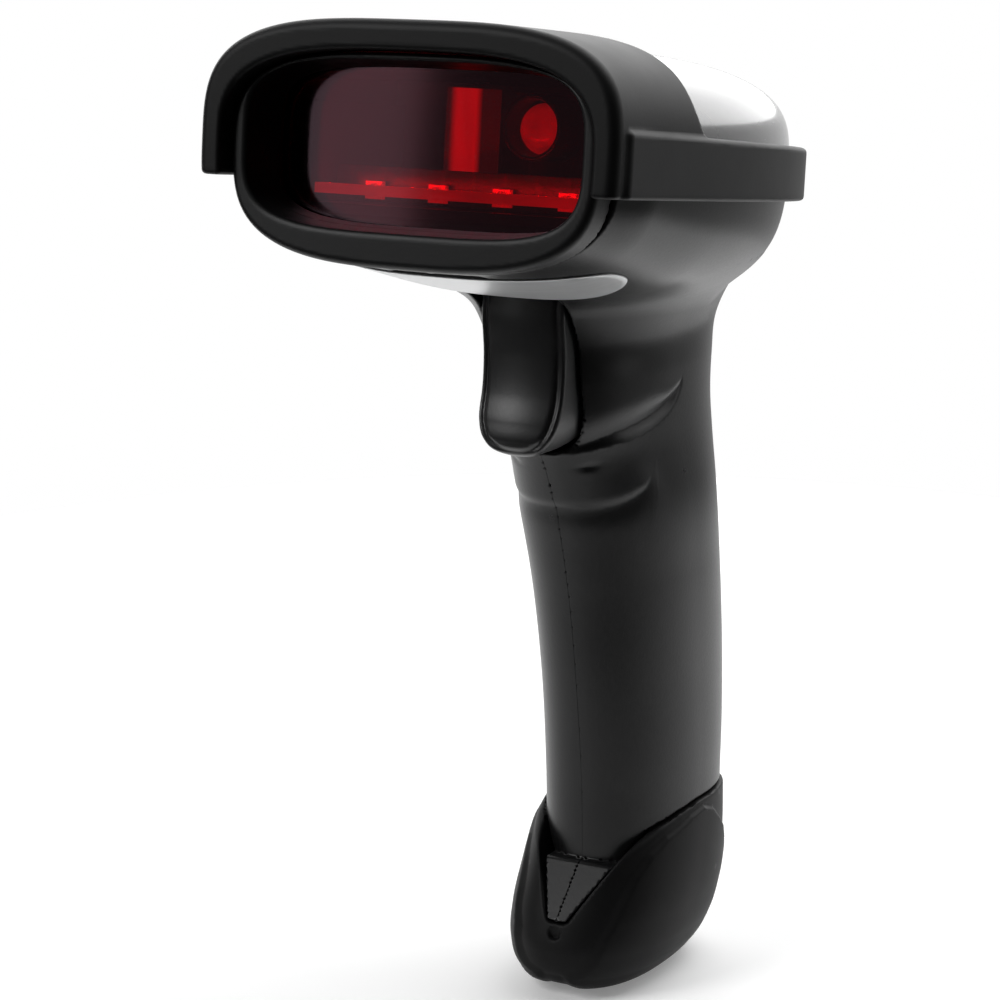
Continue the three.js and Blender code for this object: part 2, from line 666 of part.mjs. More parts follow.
// Oval label under the chin, following the belly.
function makeLabel() {
  const outline = ovalPoints(LABEL.halfWidth, LABEL.halfLength, LABEL.halfLength, 2.4, 2.4, 36);
  const prism = loft([-FAR, -10].map((z) => outline.map(([x, v]) => new THREE.Vector3(x, LABEL.centre + v, z))));
  const label = difference(
    headSkin(COVER_FRONT, FIT + LABEL.thickness, FIT + LABEL.thickness),
    headSkin(COVER_FRONT - 1, FIT, FIT),
  ).intersect(prism);
  addMesh(head, 'underside_label', label, paint(0xb9bcbf, 0.35, 0.4));
}

// ---------------------------------------------------------------------------------------------------
// Trigger, its pin, spring and switch
// ---------------------------------------------------------------------------------------------------

function triggerSideProfile() {
  const top = PIVOT_Z + TRIGGER_HEAD;
  const face = TRIGGER_FACE_Y;
  const lip = TRIGGER_FACE_Y - TRIGGER_BULGE;
  const foot = TRIGGER_FOOT_Z;
  const back = TRIGGER_FACE_Y + TRIGGER_DEPTH;
  return [
    [face + 0.8, top], [face - 0.3, PIVOT_Z - 6], [face + 0.3, foot + 16], [face - 0.1, foot + 10],
    [face - 1.6, foot + 5.6], [lip + 0.3, foot + 2.6], [lip + 1.0, foot + 0.7], [face - 0.2, foot],
    [back - 5.4, foot + 0.8], [back - 0.6, foot + 4.4], [back, foot + 9], [back, top - 1.4], [back - 1.4, top],
  ];
}

// The trigger seen from the front, grown by grow: straight sides and a rounded foot.
function triggerFrontOutline(grow) {
  const half = TRIGGER_HALF_WIDTH + grow;
  const top = PIVOT_Z + TRIGGER_HEAD + grow;
  const round = TRIGGER_FOOT_ROUND + grow;
  const centre = TRIGGER_FOOT_Z + TRIGGER_FOOT_ROUND;
  const foot = ovalPoints(half, round, round, TRIGGER_FOOT_POWER, TRIGGER_FOOT_POWER, 24)
    .slice(12).map(([x, z]) => [x, centre + z]);
  return [[half, centre], [half, top], [-half, top], ...foot];
}

function makeTrigger() {
  const body = sideProfile(triggerSideProfile(), -TRIGGER_HALF_WIDTH, TRIGGER_HALF_WIDTH)
    .intersect(frontProfile(triggerFrontOutline(0), -FAR, 0));
  const bore = barX(-FAR, FAR, PIVOT_Y, PIVOT_Z, PIVOT_RADIUS + PIVOT_RUNNING_GAP, 20);
  const springPocket = barY(TRIGGER_FACE_Y + TRIGGER_DEPTH - 4, 0, 0, SPRING_Z, SPRING_RADIUS + 0.6, 16);
  addMesh(scanner, 'trigger', difference(body, bore, springPocket), paint(0x19191a, 0.4));
  const pin = barX(-PIVOT_HALF_LENGTH, PIVOT_HALF_LENGTH, PIVOT_Y, PIVOT_Z, PIVOT_RADIUS, 20);
  addMesh(scanner, 'trigger_pin', pin, STEEL());
}

const SPRING_RADIUS = 2.2;
const SPRING_WIRE = 0.35;
const SPRING_TURNS = 5;

class SpringCurve extends THREE.Curve {
  constructor(y0, y1) {
    super();
    this.y0 = y0;
    this.y1 = y1;
  }

  getPoint(t, target = new THREE.Vector3()) {
    const turn = t * SPRING_TURNS * Math.PI * 2;
    return target.set(SPRING_RADIUS * Math.cos(turn), this.y0 + (this.y1 - this.y0) * t,
      SPRING_Z + SPRING_RADIUS * Math.sin(turn));
  }
}

const CARRIER_Y = TRIGGER_FACE_Y + TRIGGER_DEPTH + 8.4; // front face of the switch carrier
const CARRIER = { half: 8.5, thickness: 2.0, low: PIVOT_Z - 25, high: PIVOT_Z - 5 };
const SWITCH = { half: 3.1, depth: 4.2, height: 6.2, plunger: 1.1, play: 0.25 };

function makeSwitch() {
  const triggerBack = TRIGGER_FACE_Y + TRIGGER_DEPTH;
  const springFrom = triggerBack - 4 + FIT + SPRING_WIRE;
  const springTo = CARRIER_Y - FIT - SPRING_WIRE;
  const wire = new THREE.Shape(ovalPoints(SPRING_WIRE, SPRING_WIRE, SPRING_WIRE, 2, 2, 6)
    .map(([x, y]) => new THREE.Vector2(x, y)));
  addMesh(scanner, 'trigger_spring', new THREE.ExtrudeGeometry(wire, {
    steps: SPRING_TURNS * 10, bevelEnabled: false, extrudePath: new SpringCurve(springFrom, springTo),
  }), STEEL());

  const carrier = block(-CARRIER.half, CARRIER.half, CARRIER_Y, CARRIER_Y + CARRIER.thickness,
    CARRIER.low, CARRIER.high);
  addMesh(scanner, 'switch_board', carrier, CIRCUIT_GREEN());

  const bodyBack = CARRIER_Y - FIT;
  const bodyFront = bodyBack - SWITCH.depth;
  const bore = barY(bodyFront - 1, bodyBack - 0.6, 0, SWITCH_Z, SWITCH.plunger + SWITCH.play, 16);
  const body = difference(
    block(-SWITCH.half, SWITCH.half, bodyFront, bodyBack, SWITCH_Z - SWITCH.height / 2,
      SWITCH_Z + SWITCH.height / 2), bore);
  addMesh(scanner, 'switch_body', body, paint(0x202022, 0.5));
  const plunger = barY(triggerBack + FIT, bodyBack - 2.0, 0, SWITCH_Z, SWITCH.plunger, 16);
  addMesh(scanner, 'switch_plunger', plunger, paint(0xd8d2c0, 0.4));
}

// ---------------------------------------------------------------------------------------------------
// Optics, seen through the window
// ---------------------------------------------------------------------------------------------------

const OPTICS_FRONT = WINDOW_BACK + FIT + GASKET_THICKNESS + 1.2;
const CHASSIS = { half: 27, low: -10.2, thickness: 1.6, back: 44 };
const LIGHT_BAR = { half: 25, height: 1.6, depth: 2.4, z: -6.4 };
const LAMPS = 4;
const LAMP_PITCH = 11.5;
const LENS = { x: 8.2, z: 4.6, barrel: 5.2, glass: 4.0, depth: 9 };
const MIRROR = { x: -4.2, width: 8.5, height: 13.5, thickness: 1.2, turn: 38 };

function makeOptics() {
  const floor = block(-CHASSIS.half, CHASSIS.half, OPTICS_FRONT, CHASSIS.back, CHASSIS.low,
    CHASSIS.low + CHASSIS.thickness);
  const wall = block(-CHASSIS.half, CHASSIS.half, CHASSIS.back - 1.6, CHASSIS.back, CHASSIS.low, 11);
  const left = block(CHASSIS.half - 1.6, CHASSIS.half, OPTICS_FRONT, CHASSIS.back, CHASSIS.low, 7);
  const right = block(-CHASSIS.half, -CHASSIS.half + 1.6, OPTICS_FRONT, CHASSIS.back, CHASSIS.low, 7);
  addMesh(head, 'optics_chassis', union(floor, wall, left, right), paint(0x141012, 0.6));

  const floorTop = CHASSIS.low + CHASSIS.thickness + FIT;
  const lampBack = OPTICS_FRONT + 7;
  const lampBoard = block(-LIGHT_BAR.half, LIGHT_BAR.half, lampBack, lampBack + 1.2, floorTop, floorTop + 5.6);
  addMesh(head, 'lamp_board', lampBoard, CIRCUIT_GREEN());
  for (let i = 0; i < LAMPS; i += 1) {
    const x = (i - (LAMPS - 1) / 2) * LAMP_PITCH;
    const lamp = union(
      block(x - 1.6, x + 1.6, lampBack - 1.3, lampBack - FIT, LIGHT_BAR.z - 1.4, LIGHT_BAR.z + 1.4),
      barY(lampBack - 2.4, lampBack - 1.2, x, LIGHT_BAR.z, 1.1, 12),
    );
    addMesh(head, `lamp_${i + 1}`, lamp, paint(0xff3020, 0.2, 0, { emissive: 0xff2010 }));
  }
  const lightBar = block(-LIGHT_BAR.half, LIGHT_BAR.half, OPTICS_FRONT + 0.6,
    OPTICS_FRONT + 0.6 + LIGHT_BAR.depth, LIGHT_BAR.z - LIGHT_BAR.height / 2, LIGHT_BAR.z + LIGHT_BAR.height / 2);
  addMesh(head, 'light_bar', lightBar, paint(0xff2018, 0.15, 0, { emissive: 0xe01010 }));

  const barrelFront = OPTICS_FRONT + 9.5;
  const barrelBack = barrelFront + LENS.depth;
  const barrel = difference(
    union(
      barY(barrelFront, barrelBack, LENS.x, LENS.z, LENS.barrel, 28),
      block(LENS.x - 4, LENS.x + 4, barrelFront + 1.5, barrelBack, floorTop, LENS.z - 2),
    ),
    barY(barrelFront - 1, barrelBack + 1, LENS.x, LENS.z, LENS.glass + FIT, 28),
  );
  addMesh(head, 'lens_barrel', barrel, paint(0x141416, 0.35));
  const dome = new THREE.SphereGeometry(LENS.glass * 1.6, 20, 12);
  const lens = solid(dome.translate(LENS.x, barrelFront + LENS.glass * 1.6 + 0.8, LENS.z))
    .intersect(barY(barrelFront, barrelFront + 4, LENS.x, LENS.z, LENS.glass, 28));
  addMesh(head, 'lens', lens, paint(0xff4040, 0.02, 0, { transparent: true, opacity: 0.6 }));

  const mirrorAt = new THREE.Vector3(MIRROR.x, OPTICS_FRONT + 13, 3.4);
  const turn = new THREE.Matrix4().makeRotationZ(THREE.MathUtils.degToRad(MIRROR.turn));
  const plate = new THREE.BoxGeometry(MIRROR.width, MIRROR.thickness, MIRROR.height).applyMatrix4(turn);
  addMesh(head, 'fold_mirror', plate.translate(mirrorAt.x, mirrorAt.y, mirrorAt.z), paint(0xc04050, 0.05, 1));
  const clamp = new THREE.BoxGeometry(MIRROR.width + 2, 2, 2.4).applyMatrix4(turn)
    .translate(mirrorAt.x, mirrorAt.y, mirrorAt.z - MIRROR.height / 2 - 1.2 - FIT);
  addMesh(head, 'mirror_clip', clamp, paint(0x1a1a1c, 0.5));

  const sensorY = barrelBack + 6;
  addMesh(head, 'sensor_board', block(LENS.x - 14, LENS.x + 12, sensorY, sensorY + 1.4, floorTop, 10),
    CIRCUIT_GREEN());
  const window = block(LENS.x - 9, LENS.x + 9, sensorY - 1.9, sensorY - FIT, LENS.z - 2.4, LENS.z + 2.4);
  addMesh(head, 'line_sensor', window, paint(0x24242a, 0.3));
}

// ---------------------------------------------------------------------------------------------------
// Electronics
// ---------------------------------------------------------------------------------------------------

const MAIN_BOARD = { half: 20, from: 50, to: 78, z: -2, thickness: 1.6 };

function makeElectronics() {
  const top = MAIN_BOARD.z + MAIN_BOARD.thickness;
  addMesh(head, 'main_board', block(-MAIN_BOARD.half, MAIN_BOARD.half, MAIN_BOARD.from, MAIN_BOARD.to,
    MAIN_BOARD.z, top), CIRCUIT_GREEN());
  addMesh(head, 'processor', block(-12, -2, 56, 66, top + FIT, top + FIT + 1.4), paint(0x1c1c20, 0.4));
  addMesh(head, 'beeper', barZ(12, 60, top + FIT, top + FIT + 5.5, 6, 24), paint(0x121214, 0.4));
  addMesh(head, 'radio_module', block(4, 18, 67, 77, top + FIT, top + FIT + 2.2), STEEL());
  addMesh(head, 'status_lamp', block(-1.5, 1.5, LIGHT_PIPE_V - 1.5, LIGHT_PIPE_V + 1.5, top + FIT,
    top + FIT + 1.2), paint(0x40ff80, 0.2));
}

function barZ(x, y, z0, z1, radius, sides) {
  return bar(new THREE.Vector3(x, y, z0), new THREE.Vector3(x, y, z1), radius, sides);
}

function makeBattery() {
  const top = CELL_FOOT_Z + CELL_LENGTH;
  addMesh(scanner, 'battery', barZ(0, CELL_Y, CELL_FOOT_Z, top, CELL_RADIUS, 28), paint(0x1d4fa0, 0.35));
  addMesh(scanner, 'battery_pad', barZ(0, CELL_Y, CELL_FOOT_Z - FIT - 3, CELL_FOOT_Z - FIT, CELL_RADIUS - 1, 20),
    paint(0x2a2a2c, 0.95));
}

// ---------------------------------------------------------------------------------------------------
// Boot, tongue and charging socket
// ---------------------------------------------------------------------------------------------------

// Everything above the boot's rim, which is level round the back and drops towards the front V.
function aboveRim(drop) {
  return sideProfile([[-60, NOTCH_TOP_Z], [-10.5, NOTCH_TOP_Z], [-7, 25.8], [-3, 27.6], [2, 29], [8, RIM_BACK_Z],
    [60, RIM_BACK_Z], [60, FAR], [-60, FAR]].map(([y, z]) => [y, z - drop]), -FAR, FAR);
}

// The V in the boot's front, from where the rim drops to it down to a narrow foot.
function notch(grow, back = -4) {
  const slope = (NOTCH_HALF_WIDTH - NOTCH_FOOT_HALF_WIDTH) / (NOTCH_TOP_Z - NOTCH_FOOT_Z);
  const top = NOTCH_TOP_Z + 3;
  const widest = NOTCH_HALF_WIDTH + slope * 3 + grow;
  const foot = NOTCH_FOOT_HALF_WIDTH + grow;
  return frontProfile([[-foot, NOTCH_FOOT_Z - grow], [foot, NOTCH_FOOT_Z - grow], [widest, top], [-widest, top]],
    -FAR, back);
}

// The part of the V above the tongue's ledge, where the handle keeps its full size.
function notchLedge() {
  return notch(-FIT).intersect(block(-FAR, FAR, -FAR, 0, TONGUE_TOP_Z - TONGUE_LAP, FAR));
}

// Wedge on the handle's foot that fills the V and slopes out to the boot's front.
function tongue() {
  const low = NOTCH_FOOT_Z + FIT;
  return sideProfile([[-4, low], [-18.0, low + 0.3], [-17.3, low + 2], [-10.9, TONGUE_TOP_Z],
    [-4, TONGUE_TOP_Z]], -FAR, FAR).intersect(notch(-FIT));
}

function makeBoot() {
  const top = BOOT_STATIONS[BOOT_STATIONS.length - 1].z;
  const skin = uprightSkin(BOOT_STATIONS, BOOT_POWER, 0, 0, top, 11, 30);
  const seat = union(
    handleSkin(FIT - FOOT_STEP, BOOT_FLOOR_Z, 60),
    handleSkin(FIT, BOOT_FLOOR_Z, 60).intersect(aboveRim(FIT)),
  );
  const port = block(-PORT_HALF_WIDTH, PORT_HALF_WIDTH, PORT_Y - PORT_HALF_DEPTH, PORT_Y + PORT_HALF_DEPTH,
    -1, PORT_DEPTH);
  const shelf = block(-PORT_HALF_WIDTH + 1, PORT_HALF_WIDTH - 1, PORT_Y - PORT_HALF_DEPTH + 1,
    PORT_Y + PORT_HALF_DEPTH - 1, PORT_DEPTH - 1, BOOT_FLOOR_Z + 1);
  const pinHole = barY(-40, -14, 0, 9.6, 0.8, 12);
  const boot = difference(skin, seat, aboveRim(0), notch(0), port, shelf, pinHole);
  addMesh(scanner, 'boot', boot, paint(0x131314, 0.6));
}

function makeSocket() {
  const low = PORT_DEPTH - 1.6;
  const { width, depth, height, wall } = SOCKET;
  const shell = difference(
    block(-width / 2, width / 2, PORT_Y - depth / 2, PORT_Y + depth / 2, low, low + height),
    block(-width / 2 + wall, width / 2 - wall, PORT_Y - depth / 2 + wall, PORT_Y + depth / 2 - wall,
      low - 1, low + height - 0.8),
  );
  addMesh(scanner, 'charging_socket', shell, STEEL());
  const boardZ = low + height + FIT;
  addMesh(scanner, 'charging_board', block(-6.4, 6.4, PORT_Y - 7, PORT_Y + 7, boardZ, boardZ + 1.4),
    CIRCUIT_GREEN());
}

makeBezel();
makeWindow();
makeBumper();
makeTopCover();
makeLightPipe();
makeShells();
makeScrews();
makeLabel();
makeTrigger();
makeSwitch();
makeOptics();
makeElectronics();
makeBattery();
makeBoot();
makeSocket();

export default scanner;
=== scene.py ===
"""Cordless handheld barcode scanner: the shown model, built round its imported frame.

The moulded skins are level surfaces, meshed finely and rounded at their edges. They follow the same
sections as the solids of the frame. Sizes inside the skin functions are millimetres.
"""
import json
import math

import bmesh
import bpy
import numpy as np
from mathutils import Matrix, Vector

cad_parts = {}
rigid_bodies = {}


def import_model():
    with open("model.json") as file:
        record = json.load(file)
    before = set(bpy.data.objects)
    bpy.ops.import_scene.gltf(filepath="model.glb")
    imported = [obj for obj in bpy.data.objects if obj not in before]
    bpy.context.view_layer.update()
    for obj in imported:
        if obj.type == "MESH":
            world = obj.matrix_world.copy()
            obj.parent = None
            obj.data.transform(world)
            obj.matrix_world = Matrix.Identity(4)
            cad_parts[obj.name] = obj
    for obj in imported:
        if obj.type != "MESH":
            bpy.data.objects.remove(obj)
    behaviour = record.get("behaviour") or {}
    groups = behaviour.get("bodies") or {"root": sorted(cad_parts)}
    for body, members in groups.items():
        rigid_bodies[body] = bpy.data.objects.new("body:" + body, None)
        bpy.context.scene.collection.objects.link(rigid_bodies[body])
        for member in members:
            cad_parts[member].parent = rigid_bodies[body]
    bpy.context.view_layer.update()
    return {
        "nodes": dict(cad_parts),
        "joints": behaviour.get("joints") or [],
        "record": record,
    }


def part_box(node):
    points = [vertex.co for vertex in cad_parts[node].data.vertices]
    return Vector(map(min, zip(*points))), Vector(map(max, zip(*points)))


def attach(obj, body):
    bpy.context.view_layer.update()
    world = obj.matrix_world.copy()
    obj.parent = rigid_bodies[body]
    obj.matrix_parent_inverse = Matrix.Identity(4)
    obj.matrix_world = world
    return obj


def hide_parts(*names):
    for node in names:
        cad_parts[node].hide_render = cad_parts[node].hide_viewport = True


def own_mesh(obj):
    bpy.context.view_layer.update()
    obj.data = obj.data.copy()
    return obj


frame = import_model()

bl_info = {
    "name": "Handheld scanner",
    "version": (1, 0, 0),
    "blender": (4, 5, 0),
    "location": "3D View > Sidebar > Scanner",
    "description": "Moulded skins, finishes and studio of a cordless handheld scanner",
    "category": "Object",
}

MM = 0.001
TRIGGER_JOINT = next(j for j in frame["joints"] if j["name"] == "trigger_hinge")
PIVOT_Y, PIVOT_Z = (c / MM for c in TRIGGER_JOINT["pos_m"][1:])


def box_mm(node):
    low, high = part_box(node)
    return np.array(low) / MM, np.array(high) / MM


# ---- Sizes ----

WALL = 2.0
SEAM = 0.15  # half the gap between two mouldings
SKIN_SEAM = 0.05  # half the gap that shows between the two halves of the handle
FIT = 0.3  # gap between seated parts

# Head, in its own frame: x across, v back along the head, w up from its axis
HEAD_TILT = math.radians(6)
HEAD_AXIS_Z = PIVOT_Z + 23
BAND_BOTTOM = 5.1
HEAD_FRONT_Y = box_mm("bumper")[0][1] + BAND_BOTTOM * math.sin(HEAD_TILT)
HEAD_LENGTH = 96.5
HEAD_TOP, HEAD_BOTTOM = 17.6, 22.3
CROWN_POWER, BELLY_POWER = 3.4, 2.8
PLAN_POWER, CROWN_PROFILE_POWER, BELLY_PROFILE_POWER = 2.9, 2.9, 5.0
TAPER_START, PROFILE_START, BELLY_DROP_LENGTH = 16.0, 30.0, 40.0

BEZEL_HALF_WIDTH, BEZEL_TOP, BEZEL_BOTTOM, BEZEL_POWER = 31.9, 14.5, 17.6, 3.1
BEZEL_SETBACK, BEZEL_DEPTH, TUNNEL_DEPTH, TUNNEL_WALL = 2.6, 5.4, 3.4, 1.2
WINDOW_HALF_WIDTH, WINDOW_HALF_HEIGHT, WINDOW_CENTRE, WINDOW_POWER = 28.4, 12.0, 0.6, 4.0
COVER_FRONT = BEZEL_SETBACK + BEZEL_DEPTH + FIT

HOOD_DEPTH, HOOD_SWEEP, HOOD_RISE = 24.4, 4.6, 1.8
BAND_FRONT, BAND_TOP, BAND_TOP_BACK = 2.6, 4.8, 3.4
LIGHT_PIPE_V, LIGHT_PIPE_RADIUS = 70.0, 2.0

# Handle and boot: height, front, back and extra half width at a few stations
HANDLE_POWER, HANDLE_FOOT_Z = 2.3, 9.5
HANDLE_STATIONS = (
    (9.5, -8.6, 22.5, -1.8), (21, -9.4, 27.8, -0.3), (35, -9.9, 29.4, 0), (53.2, -12.0, 29.8, 0),
    (71.4, -15.3, 27.5, 0.5), (87, -20.2, 24.8, 1.0), (95, -24.2, 24.9, 0.3), (101, -28.4, 24.4, 0.4),
    (108, -30.4, 24.4, 0.8), (115, -31.0, 24.8, 1.6), (121, -33.0, 26.4, 4.6), (127, -36.5, 29.2, 9.3),
)
BOOT_POWER, BOOT_FLOOR_Z = 2.4, 8.2
BOOT_STATIONS = (
    (0, -13.0, 13.5, -5.6), (1.6, -18.0, 17.6, -2.8), (4.2, -20.4, 21.6, -0.4), (8, -20.9, 24.6, 1.2),
    (13, -19.4, 27.0, 1.9), (20, -15.4, 28.6, 1.9), (27, -12.0, 29.4, 1.3), (31, -10.9, 29.8, 0.9),
)
RIM = ((-60, 24), (-10.5, 24), (-7, 25.8), (-3, 27.6), (2, 29), (8, 29.8), (60, 29.8))
NOTCH_FOOT_Z, NOTCH_FOOT_HALF_WIDTH, NOTCH_SLOPE = 13.0, 1.8, 6.4 / 11
TONGUE_TOP_Z, FOOT_STEP, FOOT_TOP_Z = 21.8, 1.5, 45

NECK_BACK_Y, NECK_FOOT_Z, NECK_TOP_Z, NECK_LEAN = 26.2, 112, 120, 0.25
FILLET_END, FILLET_FADE = 88, 14

# Finger rest under the trigger, as y and z along the sides of the handle
SCOOP_LIP = ((-24, 96.4), (-21, 97.4), (-18.9, 97.9), (-14.3, 98.6), (-8.6, 100.0), (-3.2, 102.5),
             (-1, 104.4))
SCOOP_REACH = ((-24, 3.0), (-15, 2.7), (-10, 2.3), (-5, 1.2), (-1, 0.7))
SCOOP_DEPTH = ((-25, 0.5), (-20, 0.8), (-14, 1.15), (-8, 1.05), (-4, 0.7), (-1, 0.0))
COLLAR_GROOVE = ((-22, 85.6), (-17, 86.2), (-12.7, 87.6), (-9.8, 89.3), (-8.2, 92.0))
LEAF_EDGE = ((-21, 3.0), (-19.8, 5.6), (-18, 11.0), (-14.2, 16.4), (-10.2, 21.0), (-6.9, 24.0), (-2.9, 26.2),
             (4.1, 28.2), (8.9, 28.8), (12.9, 27.4), (18, 23), (21, 17), (22, 9))

TRIGGER_FOOT_Z, TRIGGER_FOOT_ROUND, TRIGGER_FOOT_POWER = PIVOT_Z - 29.2, 9.5, 2.5
TRIGGER_FACE = ((96.8, -32.2), (97.6, -33.4), (99.4, -34.1), (102.4, -33.7), (106.8, -32.3), (112.8, -31.7),
                (120, -32.2), (126, -31.5), (129.2, -31.0))
TRIGGER_BACK_Y, TRIGGER_SLOT_BACK_Y, TRIGGER_SLOT_GAP = -20.5, -17.4, 0.5
SPRING_DROP, SPRING_POCKET_RADIUS = 20, 3.6  # how far the spring sits below the pivot
SPRING_Z = PIVOT_Z - SPRING_DROP


def length(name, description, mm):
    return bpy.props.FloatProperty(name=name, description=description, default=mm * MM, unit="LENGTH")


def tone(name, description, *red_green_blue):
    return bpy.props.FloatVectorProperty(name=name, description=description, default=red_green_blue,
                                         subtype="COLOR", size=3)


class ScannerSizes(bpy.types.PropertyGroup):
    """Sizes that change how the scanner is moulded."""

    head_half_width: length("Head half width", "Half the width of the head shell", 34.2)
    grip_half_width: length("Grip half width", "Half the width of the handle at its waist", 13.2)
    hood_proud: length("Hood proud", "How far the hood stands out beside the head", 2.1)
    band_proud: length("Band proud", "How far the side band stands out from the head", 2.8)
    trigger_half_width: length("Trigger half width", "Half the width of the trigger", box_mm("trigger")[1][0])
    hood_edge: length("Hood edge", "Radius of the hood's front edge", 1.9)
    moulding_edge: length("Moulding edge", "Radius where two mouldings meet", 0.45)
    neck_fillet: length("Neck fillet", "Radius between the handle's neck and the belly of the head", 3.0)


class ScannerColours(bpy.types.PropertyGroup):
    """Colours of the main finishes."""

    shell: tone("Shell", "Handle and belly plastic", 0.0062, 0.0062, 0.0066)
    cover: tone("Cover", "Glossy top cover", 0.10, 0.10, 0.103)
    rubber: tone("Rubber", "Hood, band and boot", 0.0052, 0.0052, 0.0055)
    window: tone("Window", "Tint of the scan window", 0.55, 0.07, 0.16)
    label: tone("Label", "Film of the blank label", 0.78, 0.785, 0.79)
    glow: tone("Glow", "Light of the reading lamps", 1.0, 0.018, 0.05)


def size_mm(name):
    return getattr(bpy.context.scene.scanner_sizes, name) / MM


def colour(name):
    return (*getattr(bpy.context.scene.scanner_colours, name), 1.0)


# ---- Level fields: negative inside, and close to a distance in millimetres near the surface ----

AXES = np.eye(3)


def near(level, p, step=0.02):
    """A level function made distance-like by its own slope."""
    value = level(p)
    slope = np.sqrt(sum((level(p + step * axis) - value) ** 2 for axis in AXES)) / step
    return value / np.maximum(slope, 1e-4)


def round_max(a, b, radius):
    """What lies inside both, with its edge rounded."""
    corner = np.hypot(np.maximum(a + radius, 0), np.maximum(b + radius, 0))
    return np.minimum(np.maximum(a, b), -radius) + corner


def round_min(a, b, radius):
    """What lies inside either, with its corner filled."""
    return -round_max(-a, -b, radius)


def cut(a, b, radius=0.0):
    """a with b taken out of it."""
    return round_max(a, -b, radius) if radius else np.maximum(a, -b)


def smooth(t):
    u = np.clip(t, 0, 1)
    return u * u * (3 - 2 * u)


def curve(points, at):
    """A smooth curve through points, sorted by their first value."""
    keys, values = (np.array(c, float) for c in zip(*points))
    slopes = np.gradient(values, keys)
    k = np.clip(np.searchsorted(keys, at) - 1, 0, len(keys) - 2)
    span = keys[k + 1] - keys[k]
    t = np.clip((at - keys[k]) / span, 0, 1)
    return (values[k] * (1 + 2 * t) * (1 - t) ** 2 + values[k + 1] * t * t * (3 - 2 * t)
            + span * t * (1 - t) * (slopes[k] * (1 - t) - slopes[k + 1] * t))


def block(p, low, high):
    return np.max(np.maximum(np.array(low) - p, p - np.array(high)), axis=1)


def rod(p, axis, centre, radius):
    """An endless round rod along one axis through centre."""
    across = [k for k in range(3) if k != axis]
    return np.hypot(p[:, across[0]] - centre[0], p[:, across[1]] - centre[1]) - radius


def to_head(p):
    """Points of the scanner in the head's own frame."""
    y, z = p[:, 1] - HEAD_FRONT_Y, p[:, 2] - HEAD_AXIS_Z
    cos, sin = math.cos(HEAD_TILT), math.sin(HEAD_TILT)
    return np.stack([p[:, 0], y * cos - z * sin, y * sin + z * cos], axis=1)


def from_head(p):
    cos, sin = math.cos(HEAD_TILT), math.sin(HEAD_TILT)
    return np.stack([p[:, 0], HEAD_FRONT_Y + p[:, 1] * cos + p[:, 2] * sin,
                     HEAD_AXIS_Z - p[:, 1] * sin + p[:, 2] * cos], axis=1)


def draw_in(v, start, end, power):
    """Full size up to start, then drawing in to nothing at end."""
    t = np.clip((v - start) / (end - start), 0, 1)
    return np.maximum((1 - t ** power) ** (1 / power), 0.05)


def oval(x, z, half, up, down, power_up, power_down):
    above = (np.abs(x) / half) ** power_up + (np.abs(z) / up) ** power_up
    below = (np.abs(x) / half) ** power_down + (np.abs(z) / down) ** power_down
    return np.where(z >= 0, above, below) - 1


def head_skin(p, side=0.0, rise=0.0):
    """The head's skin grown by side and rise, at points of the head's frame."""
    half_width, end = size_mm("head_half_width"), HEAD_LENGTH + side
    cheek_share, chin_share = (BEZEL_HALF_WIDTH + 0.1) / half_width, BEZEL_BOTTOM / HEAD_BOTTOM

    def level(q):
        x, v, w = q.T
        cheek = cheek_share + (1 - cheek_share) * smooth((v - BEZEL_SETBACK) / TAPER_START)
        belly = chin_share + (1 - chin_share) * smooth((v - BEZEL_SETBACK) / BELLY_DROP_LENGTH)
        return oval(x, w, (half_width * cheek + side) * draw_in(v, TAPER_START, end, PLAN_POWER),
                    (HEAD_TOP + rise) * draw_in(v, PROFILE_START, end, CROWN_PROFILE_POWER),
                    (HEAD_BOTTOM * belly + rise) * draw_in(v, PROFILE_START, end, BELLY_PROFILE_POWER),
                    CROWN_POWER, BELLY_POWER)

    x, v, w = p.T
    case = np.maximum.reduce([np.abs(x) - half_width - side, v - end + 0.02, w - HEAD_TOP - rise,
                              -w - HEAD_BOTTOM - rise])
    return np.maximum(near(level, p), case)


def plan_skin(p, side):
    """The head's outline seen from above, grown by side, as an upright wall."""
    end = HEAD_LENGTH + side

    def level(q):
        return np.abs(q[:, 0]) / ((size_mm("head_half_width") + side)
                                  * draw_in(q[:, 1], TAPER_START, end, PLAN_POWER)) - 1

    return np.maximum(near(level, p), p[:, 1] - end)


def bezel_outline(p, grow):
    return near(lambda q: oval(q[:, 0], q[:, 2], BEZEL_HALF_WIDTH + grow, BEZEL_TOP + grow,
                               BEZEL_BOTTOM + grow, BEZEL_POWER, BEZEL_POWER), p)


def window_outline(p, grow):
    half, height = WINDOW_HALF_WIDTH + grow, WINDOW_HALF_HEIGHT + grow
    return near(lambda q: oval(q[:, 0], q[:, 2] - WINDOW_CENTRE, half, height, height,
                               WINDOW_POWER, WINDOW_POWER), p)


def column_tables(stations):
    z = np.linspace(stations[0][0], stations[-1][0], 800)
    return (z, *(curve([(s[0], s[k]) for s in stations], z) for k in (1, 2, 3)))


HANDLE_TABLES, BOOT_TABLES = column_tables(HANDLE_STATIONS), column_tables(BOOT_STATIONS)


